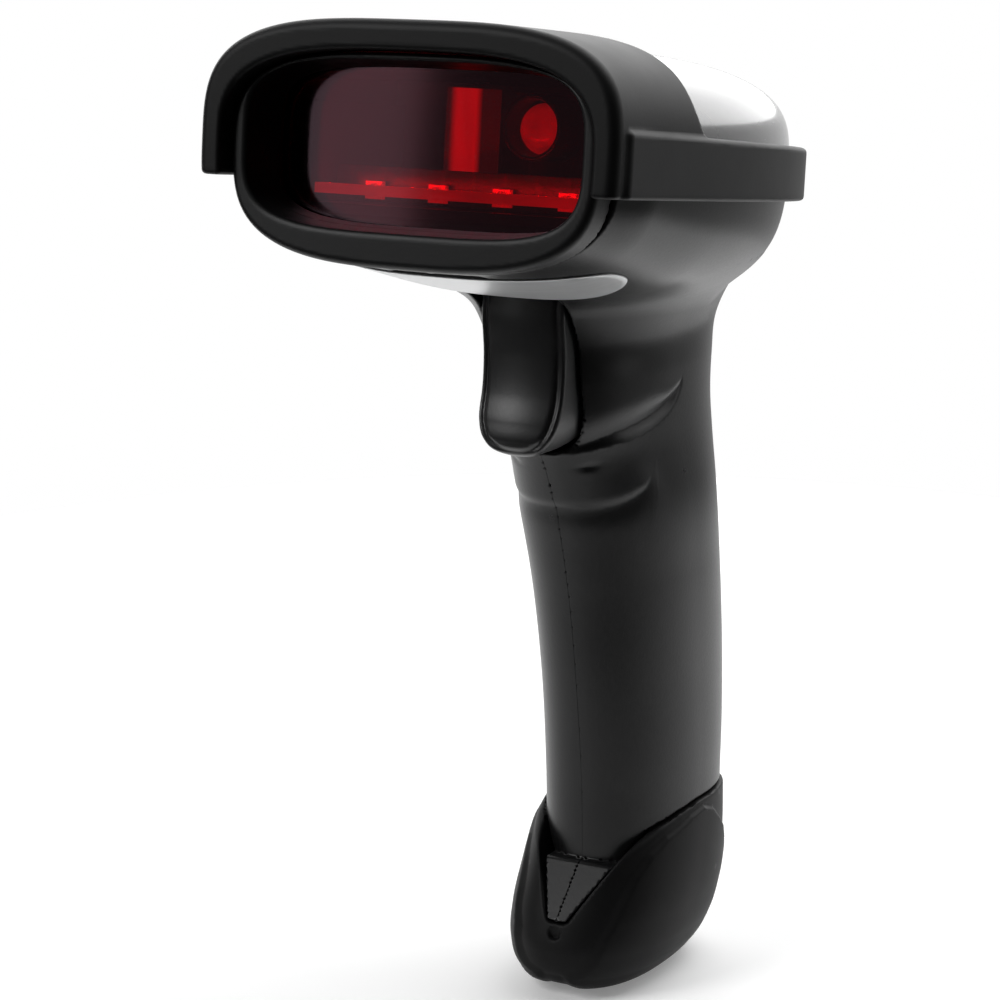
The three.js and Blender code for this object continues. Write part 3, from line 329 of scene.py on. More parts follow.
def column_skin(p, tables, power, grow):
    """An upright skin whose level sections follow the tables."""
    heights, fronts, backs, extras = tables
    half_width = size_mm("grip_half_width")

    def level(q):
        x, y, z = q.T
        front, back = np.interp(z, heights, fronts) - grow, np.interp(z, heights, backs) + grow
        half = half_width + np.interp(z, heights, extras) + grow
        return ((np.abs(x) / half) ** power
                + (np.abs(y - (front + back) / 2) / ((back - front) / 2)) ** power - 1)

    return near(level, p)


def finger_rest(p):
    """How far the handle's skin is pressed in under the trigger, along its lip and round its collar."""
    _, y, z = p.T
    above = z - curve(SCOOP_LIP, np.clip(y, -24, -1))
    reach = curve(SCOOP_REACH, np.clip(y, -24, -1))
    depth = curve(SCOOP_DEPTH, np.clip(y, -25, -1))
    scoop = depth * smooth((above + 0.5) / 1.9) * np.exp(-(np.maximum(above - 1.2, 0) / reach) ** 2)
    along = np.clip(y, -22, -8.2)
    line = curve(COLLAR_GROOVE, along)
    lean = np.abs(curve(COLLAR_GROOVE, along + 0.2) - line) / 0.2
    off = (z - line) / np.hypot(1, lean)
    fade = smooth((-7.6 - y) / 4.5)
    groove = 0.36 * fade * np.exp(-(off / np.where(off > 0, 1.0, 2.4)) ** 2)
    dimple = 0.25 * np.exp(-(((y + 21.0) / 1.1) ** 2 + ((z - 93.9) / 0.7) ** 2))
    return scoop + groove + dimple


def behind_neck(p, wall):
    """Wall that keeps the top of the handle from standing out behind the head."""
    z = p[:, 2]
    lean = NECK_LEAN * np.maximum(z - NECK_TOP_Z, 0) - np.maximum(NECK_FOOT_Z - z, 0)
    return p[:, 1] - NECK_BACK_Y + wall + lean


def above_rim(p, drop=0.0):
    """Distance-like measure, negative above the boot's rim."""
    rim = np.interp(p[:, 1], *zip(*RIM)) - drop
    return (rim - p[:, 2]) * 0.93


def notch(p, grow):
    """The V in the boot's front."""
    lean = math.hypot(1, NOTCH_SLOPE)
    half = NOTCH_FOOT_HALF_WIDTH + grow + NOTCH_SLOPE * (p[:, 2] - NOTCH_FOOT_Z)
    across = round_max((np.abs(p[:, 0]) - half) / lean, NOTCH_FOOT_Z - grow - p[:, 2], 0.6)
    return np.maximum(across, p[:, 1] + 4)


def tongue(p):
    """Wedge on the handle's foot that fills the V."""
    y, z = p[:, 1], p[:, 2]
    slope = ((z - 15.3) * 6.4 - (y + 17.3) * 6.5) / math.hypot(6.4, 6.5)
    wedge = round_max(slope, z - TONGUE_TOP_Z, 0.25)
    return round_max(np.maximum(wedge, NOTCH_FOOT_Z + FIT - z), notch(p, -FIT), 0.3)


def trigger_outline(p, grow):
    """The trigger seen from the front: straight sides and a rounded foot."""
    half, round_ = size_mm("trigger_half_width") + grow, TRIGGER_FOOT_ROUND + grow
    centre = TRIGGER_FOOT_Z + TRIGGER_FOOT_ROUND

    def level(q):
        below = np.maximum(centre - q[:, 2], 0)
        return ((np.abs(q[:, 0]) / half) ** TRIGGER_FOOT_POWER
                + (below / round_) ** TRIGGER_FOOT_POWER) ** (1 / TRIGGER_FOOT_POWER) - 1

    return near(level, p)


# ---- Whole mouldings as fields ----

def hood_field(p):
    """Hood over the front and band round the head, at points of the head's frame."""
    _, v, w = p.T
    side, edge = size_mm("hood_proud"), size_mm("hood_edge")
    end = HEAD_LENGTH + side

    def level(q):
        plan = draw_in(q[:, 1], TAPER_START, end, PLAN_POWER)
        return oval(q[:, 0], q[:, 2], (size_mm("head_half_width") + side) * plan, HEAD_TOP + HOOD_RISE,
                    HEAD_BOTTOM, CROWN_POWER, BELLY_POWER)

    fall = np.clip((HEAD_TOP + HOOD_RISE - w) / (HEAD_TOP + HOOD_RISE - BAND_TOP), 0, 1.6)
    back = v - (HOOD_DEPTH + HOOD_SWEEP * fall ** 3)
    hood = round_max(near(level, p), -v, edge)
    hood = round_max(hood, back * 0.96, 1.0)
    top_line = BAND_TOP - (BAND_TOP - BAND_TOP_BACK) * v / HEAD_LENGTH
    band = round_max(plan_skin(p, size_mm("band_proud")), BAND_FRONT - v, 1.4)
    band = round_max(band, w - top_line, 0.9)
    body = round_max(round_min(hood, band, 0.45), -BAND_BOTTOM - w, 0.7)
    inside = np.minimum(np.maximum(head_skin(p, FIT, FIT), COVER_FRONT - FIT - v),
                        np.maximum(bezel_outline(p, FIT), v - COVER_FRONT))
    return cut(body, inside, 0.8)


def cover_field(p):
    _, v, w = p.T
    skin = cut(head_skin(p), head_skin(p, -WALL, -WALL))
    skin = round_max(skin, COVER_FRONT - v, 0.3)
    skin = round_max(skin, SEAM - w, 0.3)
    return cut(skin, rod(p, 2, (0, LIGHT_PIPE_V), LIGHT_PIPE_RADIUS + FIT), 0.35)


def pipe_field(p):
    stem = np.maximum(rod(p, 2, (0, LIGHT_PIPE_V), LIGHT_PIPE_RADIUS), HEAD_TOP - 7 - p[:, 2])
    return round_max(stem, head_skin(p, 0.05, 0.05), 0.3)


def bezel_field(p):
    v = p[:, 1]
    flange_back = BEZEL_SETBACK + BEZEL_DEPTH
    flange = round_max(bezel_outline(p, 0), BEZEL_SETBACK - v, 1.3)
    flange = np.maximum(flange, v - flange_back)
    tunnel = np.maximum(window_outline(p, TUNNEL_WALL),
                        np.maximum(flange_back - 1 - v, v - flange_back - TUNNEL_DEPTH))
    share = (v - BEZEL_SETBACK) / (BEZEL_DEPTH + TUNNEL_DEPTH)
    opening = window_outline(p, 0) - 0.8 + 0.9 * share
    return cut(np.minimum(flange, tunnel), opening, 0.7)


def foot_of_handle(p, wall):
    """The stepped-in foot of the handle that sits in the boot."""
    return np.maximum(column_skin(p, HANDLE_TABLES, HANDLE_POWER, -FOOT_STEP - wall), p[:, 2] - FOOT_TOP_Z)


def grip_field(p):
    """Belly of the head, neck, handle and tongue, both halves, as a solid skin."""
    h = to_head(p)
    edge = size_mm("moulding_edge")
    handle = column_skin(p, HANDLE_TABLES, HANDLE_POWER, 0) + finger_rest(p)
    ledge = np.maximum(notch(p, -FIT), TONGUE_TOP_Z - p[:, 2])
    handle = round_max(handle, behind_neck(p, 0), 2.5)
    grip = round_max(handle, np.minimum(above_rim(p), ledge), edge)
    foot = np.maximum(foot_of_handle(p, 0), HANDLE_FOOT_Z - p[:, 2])
    grip = np.minimum(np.minimum(grip, foot), tongue(p))
    fillet = edge + (size_mm("neck_fillet") - edge) * smooth((FILLET_END - h[:, 1]) / FILLET_FADE)
    body = round_min(round_max(head_skin(h), COVER_FRONT - h[:, 1], edge), grip, fillet)
    return np.maximum(body, np.minimum(h[:, 2] + SEAM, p[:, 2] - (HEAD_AXIS_Z - 37)))


def grip_hollow(p):
    h = to_head(p)
    head = np.maximum(head_skin(h, -WALL, -WALL), COVER_FRONT - 1 - h[:, 1])
    upper = np.maximum(column_skin(p, HANDLE_TABLES, HANDLE_POWER, -WALL) + finger_rest(p),
                       np.maximum(TONGUE_TOP_Z + 12 - p[:, 2], behind_neck(p, WALL)))
    return np.minimum(np.minimum(head, upper), foot_of_handle(p, WALL))


SCREW_NODES = ("shell_screw_neck", "shell_screw_middle", "shell_screw_foot")
SCREWS = tuple(box_mm(node) for node in SCREW_NODES)
SCREW_HEAD_RADIUS, SCREW_HEAD_HEIGHT, SCREW_SHANK_RADIUS, SCREW_BOSS_RADIUS = 2.4, 1.6, 1.2, 3.0


def shell_field(p, side):
    """One half of the shell: side is 1 for +X and -1 for -X."""
    outer = grip_field(p)
    x, y, z = np.abs(p[:, 0]), p[:, 1], p[:, 2]
    half = size_mm("trigger_half_width")
    folded = np.stack([x, y, z], axis=1)
    ear = block(folded, (half + 1, PIVOT_Y - 3.4, PIVOT_Z - 12), (half + 3.8, PIVOT_Y + 3.4, PIVOT_Z + 3.6))
    body = np.minimum(cut(outer, grip_hollow(p)), np.maximum(ear, outer))
    for low, high in SCREWS:
        centre = (low[1] + high[1]) / 2, (low[2] + high[2]) / 2
        body = np.minimum(body, np.maximum(rod(p, 0, centre, SCREW_BOSS_RADIUS), outer))
        body = cut(body, np.maximum(rod(p, 0, centre, SCREW_SHANK_RADIUS + FIT), np.abs(p[:, 0]) - high[0]))
        recess = np.maximum(rod(p, 0, centre, SCREW_HEAD_RADIUS + FIT),
                            p[:, 0] - low[0] - SCREW_HEAD_HEIGHT - 0.1)
        body = cut(body, recess, 0.3)
    slot = np.maximum(trigger_outline(p, TRIGGER_SLOT_GAP), z - PIVOT_Z - 3.7)
    body = cut(body, np.maximum(slot, y - TRIGGER_SLOT_BACK_Y), 0.5)
    body = cut(body, np.maximum(rod(p, 0, (PIVOT_Y, PIVOT_Z), 1.3), x - 11.5))
    return np.maximum(body, SKIN_SEAM - side * p[:, 0])


def trigger_field(p):
    x, y, z = p.T
    outline = trigger_outline(p, 0)
    face = curve(TRIGGER_FACE, np.clip(z, 96.8, 129.2))
    crown = 1.0 * (np.abs(x) / 7) ** 2
    groove = 0.38 * np.exp(-((outline + 1.15) / 0.42) ** 2)
    front = (face + crown + groove - y) * 0.95
    body = round_max(front, outline, 0.55)
    body = round_max(body, y - TRIGGER_BACK_Y, 1.0)
    foot_back = (y + 26) * 0.42 + (TRIGGER_FOOT_Z - 0.2 - z) * 0.9
    body = round_max(body, foot_back, 1.2)
    body = round_max(body, z - PIVOT_Z - 3.2, 0.8)
    body = cut(body, rod(p, 0, (PIVOT_Y, PIVOT_Z), 1.26))
    pocket = np.maximum(rod(p, 1, (0, SPRING_Z), SPRING_POCKET_RADIUS), TRIGGER_BACK_Y - 4 - y)
    return cut(body, pocket, 0.2)


def leaf(p):
    """1 on the raised panel of each side of the boot, 0 off it, with a soft step between."""
    edge = np.array(LEAF_EDGE)
    here = p[:, 1:3]
    nearest = np.full(len(p), 1e9)
    inside = np.zeros(len(p), bool)
    ring = np.vstack([edge, [(16, 1.5), (0, -3), (-16, 0.0)]])
    for a, b in zip(ring, np.roll(ring, -1, axis=0)):
        along = b - a
        t = np.clip(((here - a) @ along) / (along @ along), 0, 1)
        nearest = np.minimum(nearest, np.hypot(*(here - a - t[:, None] * along).T))
        crosses = (a[1] > here[:, 1]) != (b[1] > here[:, 1])
        rise = b[1] - a[1] if b[1] != a[1] else 1e-9
        inside ^= crosses & (here[:, 0] < a[0] + (here[:, 1] - a[1]) * (b[0] - a[0]) / rise)
    return smooth((np.where(inside, nearest, -nearest) + 0.1) / 0.9) * smooth((np.abs(p[:, 0]) - 1.5) / 2)


PORT_Y, PORT_HALF_WIDTH, PORT_HALF_DEPTH, PORT_DEPTH = 9.2, 5.4, 3.6, 6.6


def boot_field(p):
    _, y, z = p.T
    skin = column_skin(p, BOOT_TABLES, BOOT_POWER, 0) + 0.45 - 0.62 * leaf(p)
    skin = round_max(skin, -z, 0.7)
    skin = round_max(skin, -above_rim(p), 0.75)
    seat = np.maximum(column_skin(p, HANDLE_TABLES, HANDLE_POWER, FIT - FOOT_STEP), BOOT_FLOOR_Z - z)
    collar = np.maximum(column_skin(p, HANDLE_TABLES, HANDLE_POWER, FIT), above_rim(p, FIT))
    body = cut(skin, np.minimum(seat, collar), 0.3)
    body = cut(body, notch(p, 0), 0.45)
    port = block(p, (-PORT_HALF_WIDTH, PORT_Y - PORT_HALF_DEPTH, -1),
                 (PORT_HALF_WIDTH, PORT_Y + PORT_HALF_DEPTH, PORT_DEPTH))
    shelf = block(p, (1 - PORT_HALF_WIDTH, PORT_Y - PORT_HALF_DEPTH + 1, 0),
                  (PORT_HALF_WIDTH - 1, PORT_Y + PORT_HALF_DEPTH - 1, BOOT_FLOOR_Z + 1))
    body = cut(cut(body, port, 0.35), shelf)
    return cut(body, np.maximum(rod(p, 1, (0, 11.4), 0.95), y + 19.0), 0.5)


# ---- Meshing ----

CORNERS = np.array([(i, j, k) for i in (0, 1) for j in (0, 1) for k in (0, 1)])
BLOCK = 4  # cells along each side of the blocks that are looked at first
GRID_MARGIN = BLOCK + 0.37


def slope_of(field, p, step=0.03):
    return np.stack([(field(p + step * a) - field(p - step * a)) / (2 * step) for a in AXES], axis=1)


def level_grid(field, low, cell, blocks):
    """Field values on a grid, exact in the blocks near the surface and rough elsewhere."""
    where = np.stack(np.meshgrid(*(np.arange(n) for n in blocks), indexing="ij"), axis=-1).reshape(-1, 3)
    rough = field(low + cell * (where * BLOCK + (BLOCK - 1) / 2))
    values = np.repeat(rough, BLOCK ** 3).reshape(*blocks, BLOCK, BLOCK, BLOCK)
    close = np.abs(rough) < cell * BLOCK * 2.2
    step = np.stack(np.meshgrid(*[np.arange(BLOCK)] * 3, indexing="ij"), axis=-1).reshape(-1, 3)
    points = low + cell * (where[close][:, None, :] * BLOCK + step[None]).reshape(-1, 3)
    exact = np.concatenate([field(points[i:i + 400000]) for i in range(0, len(points), 400000)])
    values.reshape(-1, BLOCK ** 3)[close] = exact.reshape(-1, BLOCK ** 3)
    return values.transpose(0, 3, 1, 4, 2, 5).reshape(*(n * BLOCK for n in blocks))


def level_surface(field, low, high, cell):
    """Points, outward slopes and four-cornered faces of the surface where the field is zero."""
    low = np.array(low, float) - cell * GRID_MARGIN
    blocks = np.ceil((np.array(high) + cell * BLOCK - low) / (cell * BLOCK)).astype(int)
    values = level_grid(field, low, cell, blocks)
    inside = values < 0
    count = np.zeros(tuple(n - 1 for n in values.shape), int)
    for i, j, k in CORNERS:
        count += inside[i:values.shape[0] - 1 + i, j:values.shape[1] - 1 + j, k:values.shape[2] - 1 + k]
    cells = np.argwhere((count > 0) & (count < 8))
    number = np.full(count.shape, -1)
    number[tuple(cells.T)] = np.arange(len(cells))
    total, hits = np.zeros((len(cells), 3)), np.zeros(len(cells))
    for a in CORNERS:
        for b in CORNERS:
            if (b - a).sum() == 1 and np.abs(b - a).sum() == 1:
                va, vb = values[tuple((cells + a).T)], values[tuple((cells + b).T)]
                crossed = (va < 0) != (vb < 0)
                t = va[crossed] / (va[crossed] - vb[crossed])
                total[crossed] += a + t[:, None] * (b - a)
                hits[crossed] += 1
    points = low + cell * (cells + total / hits[:, None])
    faces = []
    for k in range(3):
        i, j = (k + 1) % 3, (k + 2) % 3
        first = np.take(inside, range(values.shape[k] - 1), axis=k)
        second = np.take(inside, range(1, values.shape[k]), axis=k)
        edges = np.argwhere(first != second)
        edges = edges[(edges[:, i] > 0) & (edges[:, j] > 0)
                      & (edges[:, i] < values.shape[i] - 1) & (edges[:, j] < values.shape[j] - 1)]
        ei, ej = AXES[i].astype(int), AXES[j].astype(int)
        quad = np.stack([number[tuple((edges - s).T)] for s in (ei + ej, ej, 0 * ei, ei)], axis=1)
        inward = ~first[tuple(edges.T)]
        quad[inward] = quad[inward][:, ::-1]
        faces.append(quad)
    faces = np.vstack(faces)
    for _ in range(3):
        slope = slope_of(field, points)
        size = np.maximum((slope ** 2).sum(axis=1), 0.05)
        move = field(points) / size
        points -= np.clip(move, -cell / 3, cell / 3)[:, None] * slope
    return points, slope_of(field, points), faces


def new_object(name, mesh):
    obj = bpy.data.objects.new(name, mesh)
    bpy.context.scene.collection.objects.link(obj)
    return obj


def mesh_object(name, points_mm, faces, normals=None):
    mesh = bpy.data.meshes.new(name)
    mesh.from_pydata((np.asarray(points_mm) * MM).tolist(), [], np.asarray(faces).tolist()
                     if isinstance(faces, np.ndarray) else faces)
    mesh.update()
    mesh.polygons.foreach_set("use_smooth", [True] * len(mesh.polygons))
    if normals is not None:
        unit = normals / np.maximum(np.linalg.norm(normals, axis=1), 1e-9)[:, None]
        mesh.normals_split_custom_set_from_vertices(unit.tolist())
    return new_object(name, mesh)


def snap_to_seam(points, slopes, skin, plane, reach):
    """Brings the points near an upright joint plane onto the line where it meets the skin."""
    rim = (np.abs(points[:, 0] - plane) < reach) & (skin(points) > -1.15 * reach)
    here = points[rim]
    here[:, 0] = plane
    for _ in range(8):
        slope = slope_of(skin, here)
        level = (slope[:, 1:] ** 2).sum(axis=1)
        here[:, 1:] -= (skin(here) / np.maximum(level, 0.05))[:, None] * slope[:, 1:]
    settled = np.abs(skin(here)) < 0.05
    chosen = np.flatnonzero(rim)[settled]
    points[chosen] = here[settled]
    slopes[chosen] = slope_of(skin, here[settled])


def moulded(name, field, low, high, cell, slot, node, body="housing", in_head=False, seam=None):
    """The finished piece that a field describes, in place of one of the frame's nodes."""
    cell *= 1
    low = np.array(low, float)
    if seam:
        share = 0.2 if seam[1] > 0 else 0.8
        steps = max(math.ceil((seam[1] - low[0]) / cell - share + GRID_MARGIN), BLOCK + 1)
        low[0] = seam[1] - cell * (steps + share - GRID_MARGIN)
    points, slopes, faces = level_surface(field, low, high, cell)
    if seam:
        snap_to_seam(points, slopes, *seam, 0.6 * cell)
    if in_head:
        tips = from_head(points + slopes)
        points = from_head(points)
        slopes = tips - points
    return fit(mesh_object(name, points, faces, slopes), body, slot, node)


def fit(obj, body, slot, *nodes):
    """Says what a finished piece rides on, takes its finish from and stands for."""
    finish_in(obj, slot)
    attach(obj, body)
    if nodes:
        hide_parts(*nodes)
    return obj


def face_outward(obj, weld=False):
    work = bmesh.new()
    work.from_mesh(obj.data)
    if weld:
        bmesh.ops.remove_doubles(work, verts=work.verts, dist=1e-6)
        bmesh.ops.dissolve_degenerate(work, edges=work.edges, dist=1e-6)
    bmesh.ops.recalc_face_normals(work, faces=work.faces)
    work.to_mesh(obj.data)
    work.free()


def lathe(name, profile, centre, along, turns=64):
    """A round piece from a closed profile of (radius, distance along) points."""
    along = Vector(along).normalized()
    across = along.cross(Vector((1, 0, 0))).normalized()
    side = along.cross(across)
    points, faces = [], []
    for k in range(turns):
        angle = 2 * math.pi * k / turns
        out = across * math.cos(angle) + side * math.sin(angle)
        points += [tuple(Vector(centre) + out * r + along * d) for r, d in profile]
    n = len(profile)
    for k in range(turns):
        for i in range(n):
            a, b = k * n + i, k * n + (i + 1) % n
            c, d = ((k + 1) % turns) * n + (i + 1) % n, ((k + 1) % turns) * n + i
            faces.append((a, b, c, d))
    obj = mesh_object(name, points, faces)
    face_outward(obj, weld=True)
    obj.data.set_sharp_from_angle(angle=math.radians(35))
    return obj


# ---- Materials ----

def add_node(tree, kind, settings=(), values=()):
    """A node with its settings, and then its sockets, given as values, links or lists of links."""
    made = tree.nodes.new(kind)
    for key, value in dict(settings).items():
        setattr(made, key, value)
    for key, value in dict(values).items():
        feed(tree, made.inputs[key], value)
    return made


def feed(tree, socket, value):
    value = getattr(value, "socket", value)
    if isinstance(value, bpy.types.NodeSocket):
        tree.links.new(value, socket)
    elif isinstance(value, list):
        for one in value:
            tree.links.new(one, socket)
    else:
        socket.default_value = value


class Number:
    """A number in a material, so that sums on it read as sums."""

    def __init__(self, maker, socket):
        self.maker, self.socket = maker, socket

    def _sum(self, operation, first, second):
        node = self.maker.node("ShaderNodeMath", {"operation": operation}, {0: first, 1: second})
        return Number(self.maker, node.outputs[0])

    def __add__(self, other):
        return self._sum("ADD", self, other)

    def __sub__(self, other):
        return self._sum("SUBTRACT", self, other)

    def __rsub__(self, other):
        return self._sum("SUBTRACT", other, self)

    def __mul__(self, other):
        return self._sum("MULTIPLY", self, other)

    __radd__, __rmul__ = __add__, __mul__

    def band(self, low, high):
        """0 below low, 1 above high."""
        values = {0: self, 1: low, 2: high, 3: 0.0, 4: 1.0}
        return Number(self.maker, self.maker.node("ShaderNodeMapRange", {"clamp": True}, values).outputs[0])


class Finish:
    """A material and the one method that adds nodes to it."""

    def __init__(self, name):
        self.material = bpy.data.materials.new(name)
        self.material.use_nodes = True
        self.tree = self.material.node_tree
        self.shader = self.tree.nodes["Principled BSDF"]
        self.place = self.node("ShaderNodeTexCoord").outputs["Object"]

    def node(self, kind, settings=(), values=()):
        return add_node(self.tree, kind, settings, values)

    def noise(self, scale, detail=3.0, roughness=0.55, stretch=(1, 1, 1)):
        """Grain of a given count per metre along each axis."""
        place = self.node("ShaderNodeMapping", values={"Vector": self.place, "Scale": stretch}).outputs[0]
        made = self.node("ShaderNodeTexNoise", values={"Vector": place, "Scale": scale, "Detail": detail,
                                                       "Roughness": roughness})
        return Number(self, made.outputs["Fac"])

    def cells(self, scale):
        made = self.node("ShaderNodeTexVoronoi", values={"Vector": self.place, "Scale": scale})
        return Number(self, made.outputs["Distance"])

    def edge(self, low, high):
        """1 along outer edges, where handling polishes a moulding."""
        return Number(self, self.node("ShaderNodeNewGeometry").outputs["Pointiness"]).band(low, high)

    def mix(self, share, first, second):
        made = self.node("ShaderNodeMix", {"data_type": "RGBA"}, {0: share, 6: first, 7: second})
        return made.outputs[2]

    def bump(self, height, strength, distance, under=None):
        values = {"Height": height, "Strength": strength, "Distance": distance}
        if under is not None:
            values["Normal"] = under
        return self.node("ShaderNodeBump", values=values).outputs["Normal"]

    def set(self, **values):
        for key, value in values.items():
            feed(self.tree, self.shader.inputs[key.replace("_", " ")], value)
        return self.material


def tint(base, factor):
    return (*(min(c * factor, 1) for c in base[:3]), 1.0)


def moulded_plastic(name, base, roughness, grain=2600, depth=0.00003, polish=0.1, shine=0.36):
    """Spark-textured plastic: fine grain, a cloudier sheen, and edges polished by handling."""
    f = Finish(name)
    fine, cloud, smudge = f.noise(grain, 2), f.noise(60, 4), f.noise(17, 5, 0.6, (1, 1, 0.35))
    worn = f.edge(0.53, 0.62)
    body = f.mix(cloud.band(0.3, 0.7), tint(base, 0.86), tint(base, 1.18))
    colour_ = f.mix(worn * 0.5, body, tint(base, 1.9))
    sheen = roughness + (fine - 0.5) * 0.10 + (smudge - 0.5) * 0.12 - worn * polish
    normal = f.bump(fine, 0.35, depth)
    normal = f.bump(f.cells(grain * 0.55), 0.18, depth, normal)
    return f.set(Base_Color=colour_, Roughness=sheen, Normal=normal, Specular_IOR_Level=shine)


def gloss_plastic(name, base):
    """Polished cover: nearly even, with hairline scratches, faint smears and a slight ripple."""
    f = Finish(name)
    smear, ripple = f.noise(30, 5, 0.6, (1, 0.4, 1)), f.noise(90, 1)
    hair = f.noise(900, 2, 0.5, (1, 0.03, 1)).band(0.66, 0.72)
    dust = f.noise(3800, 0).band(0.80, 0.84)
    f.set(Coat_Weight=1.0, Coat_Roughness=0.10, IOR=1.55)
    colour_ = f.mix(dust * 0.4, f.mix(smear, base, tint(base, 1.25)), (0.2, 0.2, 0.2, 1))
    return f.set(Base_Color=colour_, Roughness=0.26 + (smear - 0.5) * 0.07 + hair * 0.05,
                 Normal=f.bump(ripple, 0.05, 0.0002))


def soft_rubber(name, base, roughness, shine=0.3):
    """Satin rubber: dense fine grain, dusty bloom in the hollows and shine on rubbed edges."""
    f = Finish(name)
    fine, patch, streak = f.noise(3400, 3), f.noise(45, 4), f.noise(120, 3, 0.6, (0.25, 1, 1))
    worn = f.edge(0.52, 0.60)
    hollow = 1 - f.edge(0.40, 0.48)
    body = f.mix(patch.band(0.3, 0.75), tint(base, 0.8), tint(base, 1.25))
    body = f.mix(hollow * 0.25, body, tint(base, 2.2))
    f.set(Specular_IOR_Level=shine)
    sheen = roughness + (patch - 0.5) * 0.14 + (streak - 0.5) * 0.06 - worn * 0.08
    normal = f.bump(fine, 0.3, 0.000025)
    normal = f.bump(f.cells(1500), 0.12, 0.00003, normal)
    return f.set(Base_Color=f.mix(worn * 0.4, body, tint(base, 1.7)), Roughness=sheen, Normal=normal)


def tinted_window(name, base):
    """Deep red filter glass: a clear tint under a polished face with a little dust."""
    f = Finish(name)
    ripple, dust = f.noise(25, 1), f.noise(2600, 1).band(0.74, 0.80)
    clear = f.node("ShaderNodeBsdfTransparent", values={0: base})
    gloss = f.node("ShaderNodeFresnel", values={"IOR": 1.52})
    f.set(Metallic=1.0, Base_Color=f.mix(dust, (0.95, 0.62, 0.74, 1), (0.5, 0.36, 0.40, 1)),
          Roughness=0.09 + dust * 0.3, Normal=f.bump(ripple, 0.02, 0.0002))
    share = Number(f, gloss.outputs[0]) + dust * 0.02
    both = f.node("ShaderNodeMixShader", values={0: share, 1: clear.outputs[0], 2: f.shader.outputs[0]})
    f.tree.links.new(both.outputs[0], f.tree.nodes["Material Output"].inputs["Surface"])
    return f.material


def label_film(name, base):
    """Brushed silver film, blank, with darker patches of fibre."""
    f = Finish(name)
    brushed = f.noise(900, 3, 0.6, (0.05, 1, 1))
    fibre = f.noise(300, 4)
    f.set(Metallic=0.35)
    body = f.mix(brushed, tint(base, 0.85), tint(base, 1.12))
    return f.set(Base_Color=f.mix(fibre * 0.3, body, tint(base, 0.7)), Roughness=0.34 + (brushed - 0.5) * 0.2,
                 Normal=f.bump(brushed, 0.08, 0.00002))


def metal(name, base, roughness, stretch=(1, 1, 1)):
    f = Finish(name)
    turned, spots = f.noise(1800, 3, 0.6, stretch), f.noise(400, 4)
    return f.set(Metallic=1.0, Base_Color=f.mix(spots.band(0.35, 0.8), tint(base, 1.0), tint(base, 0.72)),
                 Roughness=roughness + (turned - 0.5) * 0.2, Normal=f.bump(turned, 0.1, 0.00001))


def circuit_board(name):
    """Green solder mask with copper tracks showing through it."""
    f = Finish(name)
    tracks = f.node("ShaderNodeTexBrick", {"offset": 0.5}, {
        "Vector": f.place, "Scale": 90.0, "Color1": (0.012, 0.09, 0.035, 1), "Color2": (0.016, 0.12, 0.05, 1),
        "Mortar": (0.05, 0.22, 0.09, 1), "Mortar Size": 0.03})
    cloud = f.noise(500, 3)
    return f.set(Base_Color=f.mix(cloud * 0.4, tracks.outputs["Color"], (0.01, 0.06, 0.025, 1)),
                 Roughness=0.32 + (cloud - 0.5) * 0.1,
                 Normal=f.bump(tracks.outputs["Fac"], 0.2, 0.00004))


def glowing(name, base, light, strength, roughness=0.2, streaks=(1, 1, 1)):
    """Red plastic that glows by its own emission, a little uneven along its length: real light on the reading
    lamps, painted glow on the lens, which is lit only by the lamps.
    """
    f = Finish(name)
    uneven = f.noise(220, 3, 0.6, streaks).band(0.3, 0.75)
    return f.set(Emission_Strength=strength, Base_Color=f.mix(uneven, tint(base, 0.7), base),
                 Roughness=roughness + uneven * 0.08,
                 Emission_Color=f.mix(uneven, tint(light, 0.45), light), Normal=f.bump(uneven, 0.05, 0.0001))


def lit_mirror(name, light, strength):
    """Mirror with the lamps' light standing in it as an upright band."""
    f = Finish(name)
    across = f.node("ShaderNodeSeparateXYZ", values={0: f.place}).outputs["X"]
    across = Number(f, across)
    band = across.band(-0.0068, -0.0060) * (1 - across.band(-0.0036, -0.0028))
    uneven = f.noise(160, 3, 0.6, (3, 3, 0.3))
    f.set(Emission_Strength=strength, Metallic=0.6)
    share = band * (0.55 + uneven * 0.6) + 0.05
    return f.set(Base_Color=f.mix(uneven, (0.10, 0.02, 0.03, 1), (0.2, 0.03, 0.05, 1)),
                 Roughness=0.12 + uneven * 0.05,
                 Emission_Color=f.mix(share, (0.004, 0, 0.0005, 1), light))


def foam(name):
    f = Finish(name)
    pores, cloud = f.cells(2400), f.noise(300, 3)
    return f.set(Base_Color=f.mix(cloud, (0.008, 0.008, 0.008, 1), (0.02, 0.02, 0.02, 1)),
                 Roughness=0.92 - pores * 0.1, Normal=f.bump(pores, 0.6, 0.0002))


def cell_wrap(name):
    f = Finish(name)
    shrink = f.noise(70, 3, 0.5, (1, 1, 4))
    return f.set(Base_Color=f.mix(shrink, (0.02, 0.08, 0.30, 1), (0.035, 0.12, 0.42, 1)),
                 Roughness=0.28 + (shrink - 0.5) * 0.15, Normal=f.bump(shrink, 0.15, 0.0002))


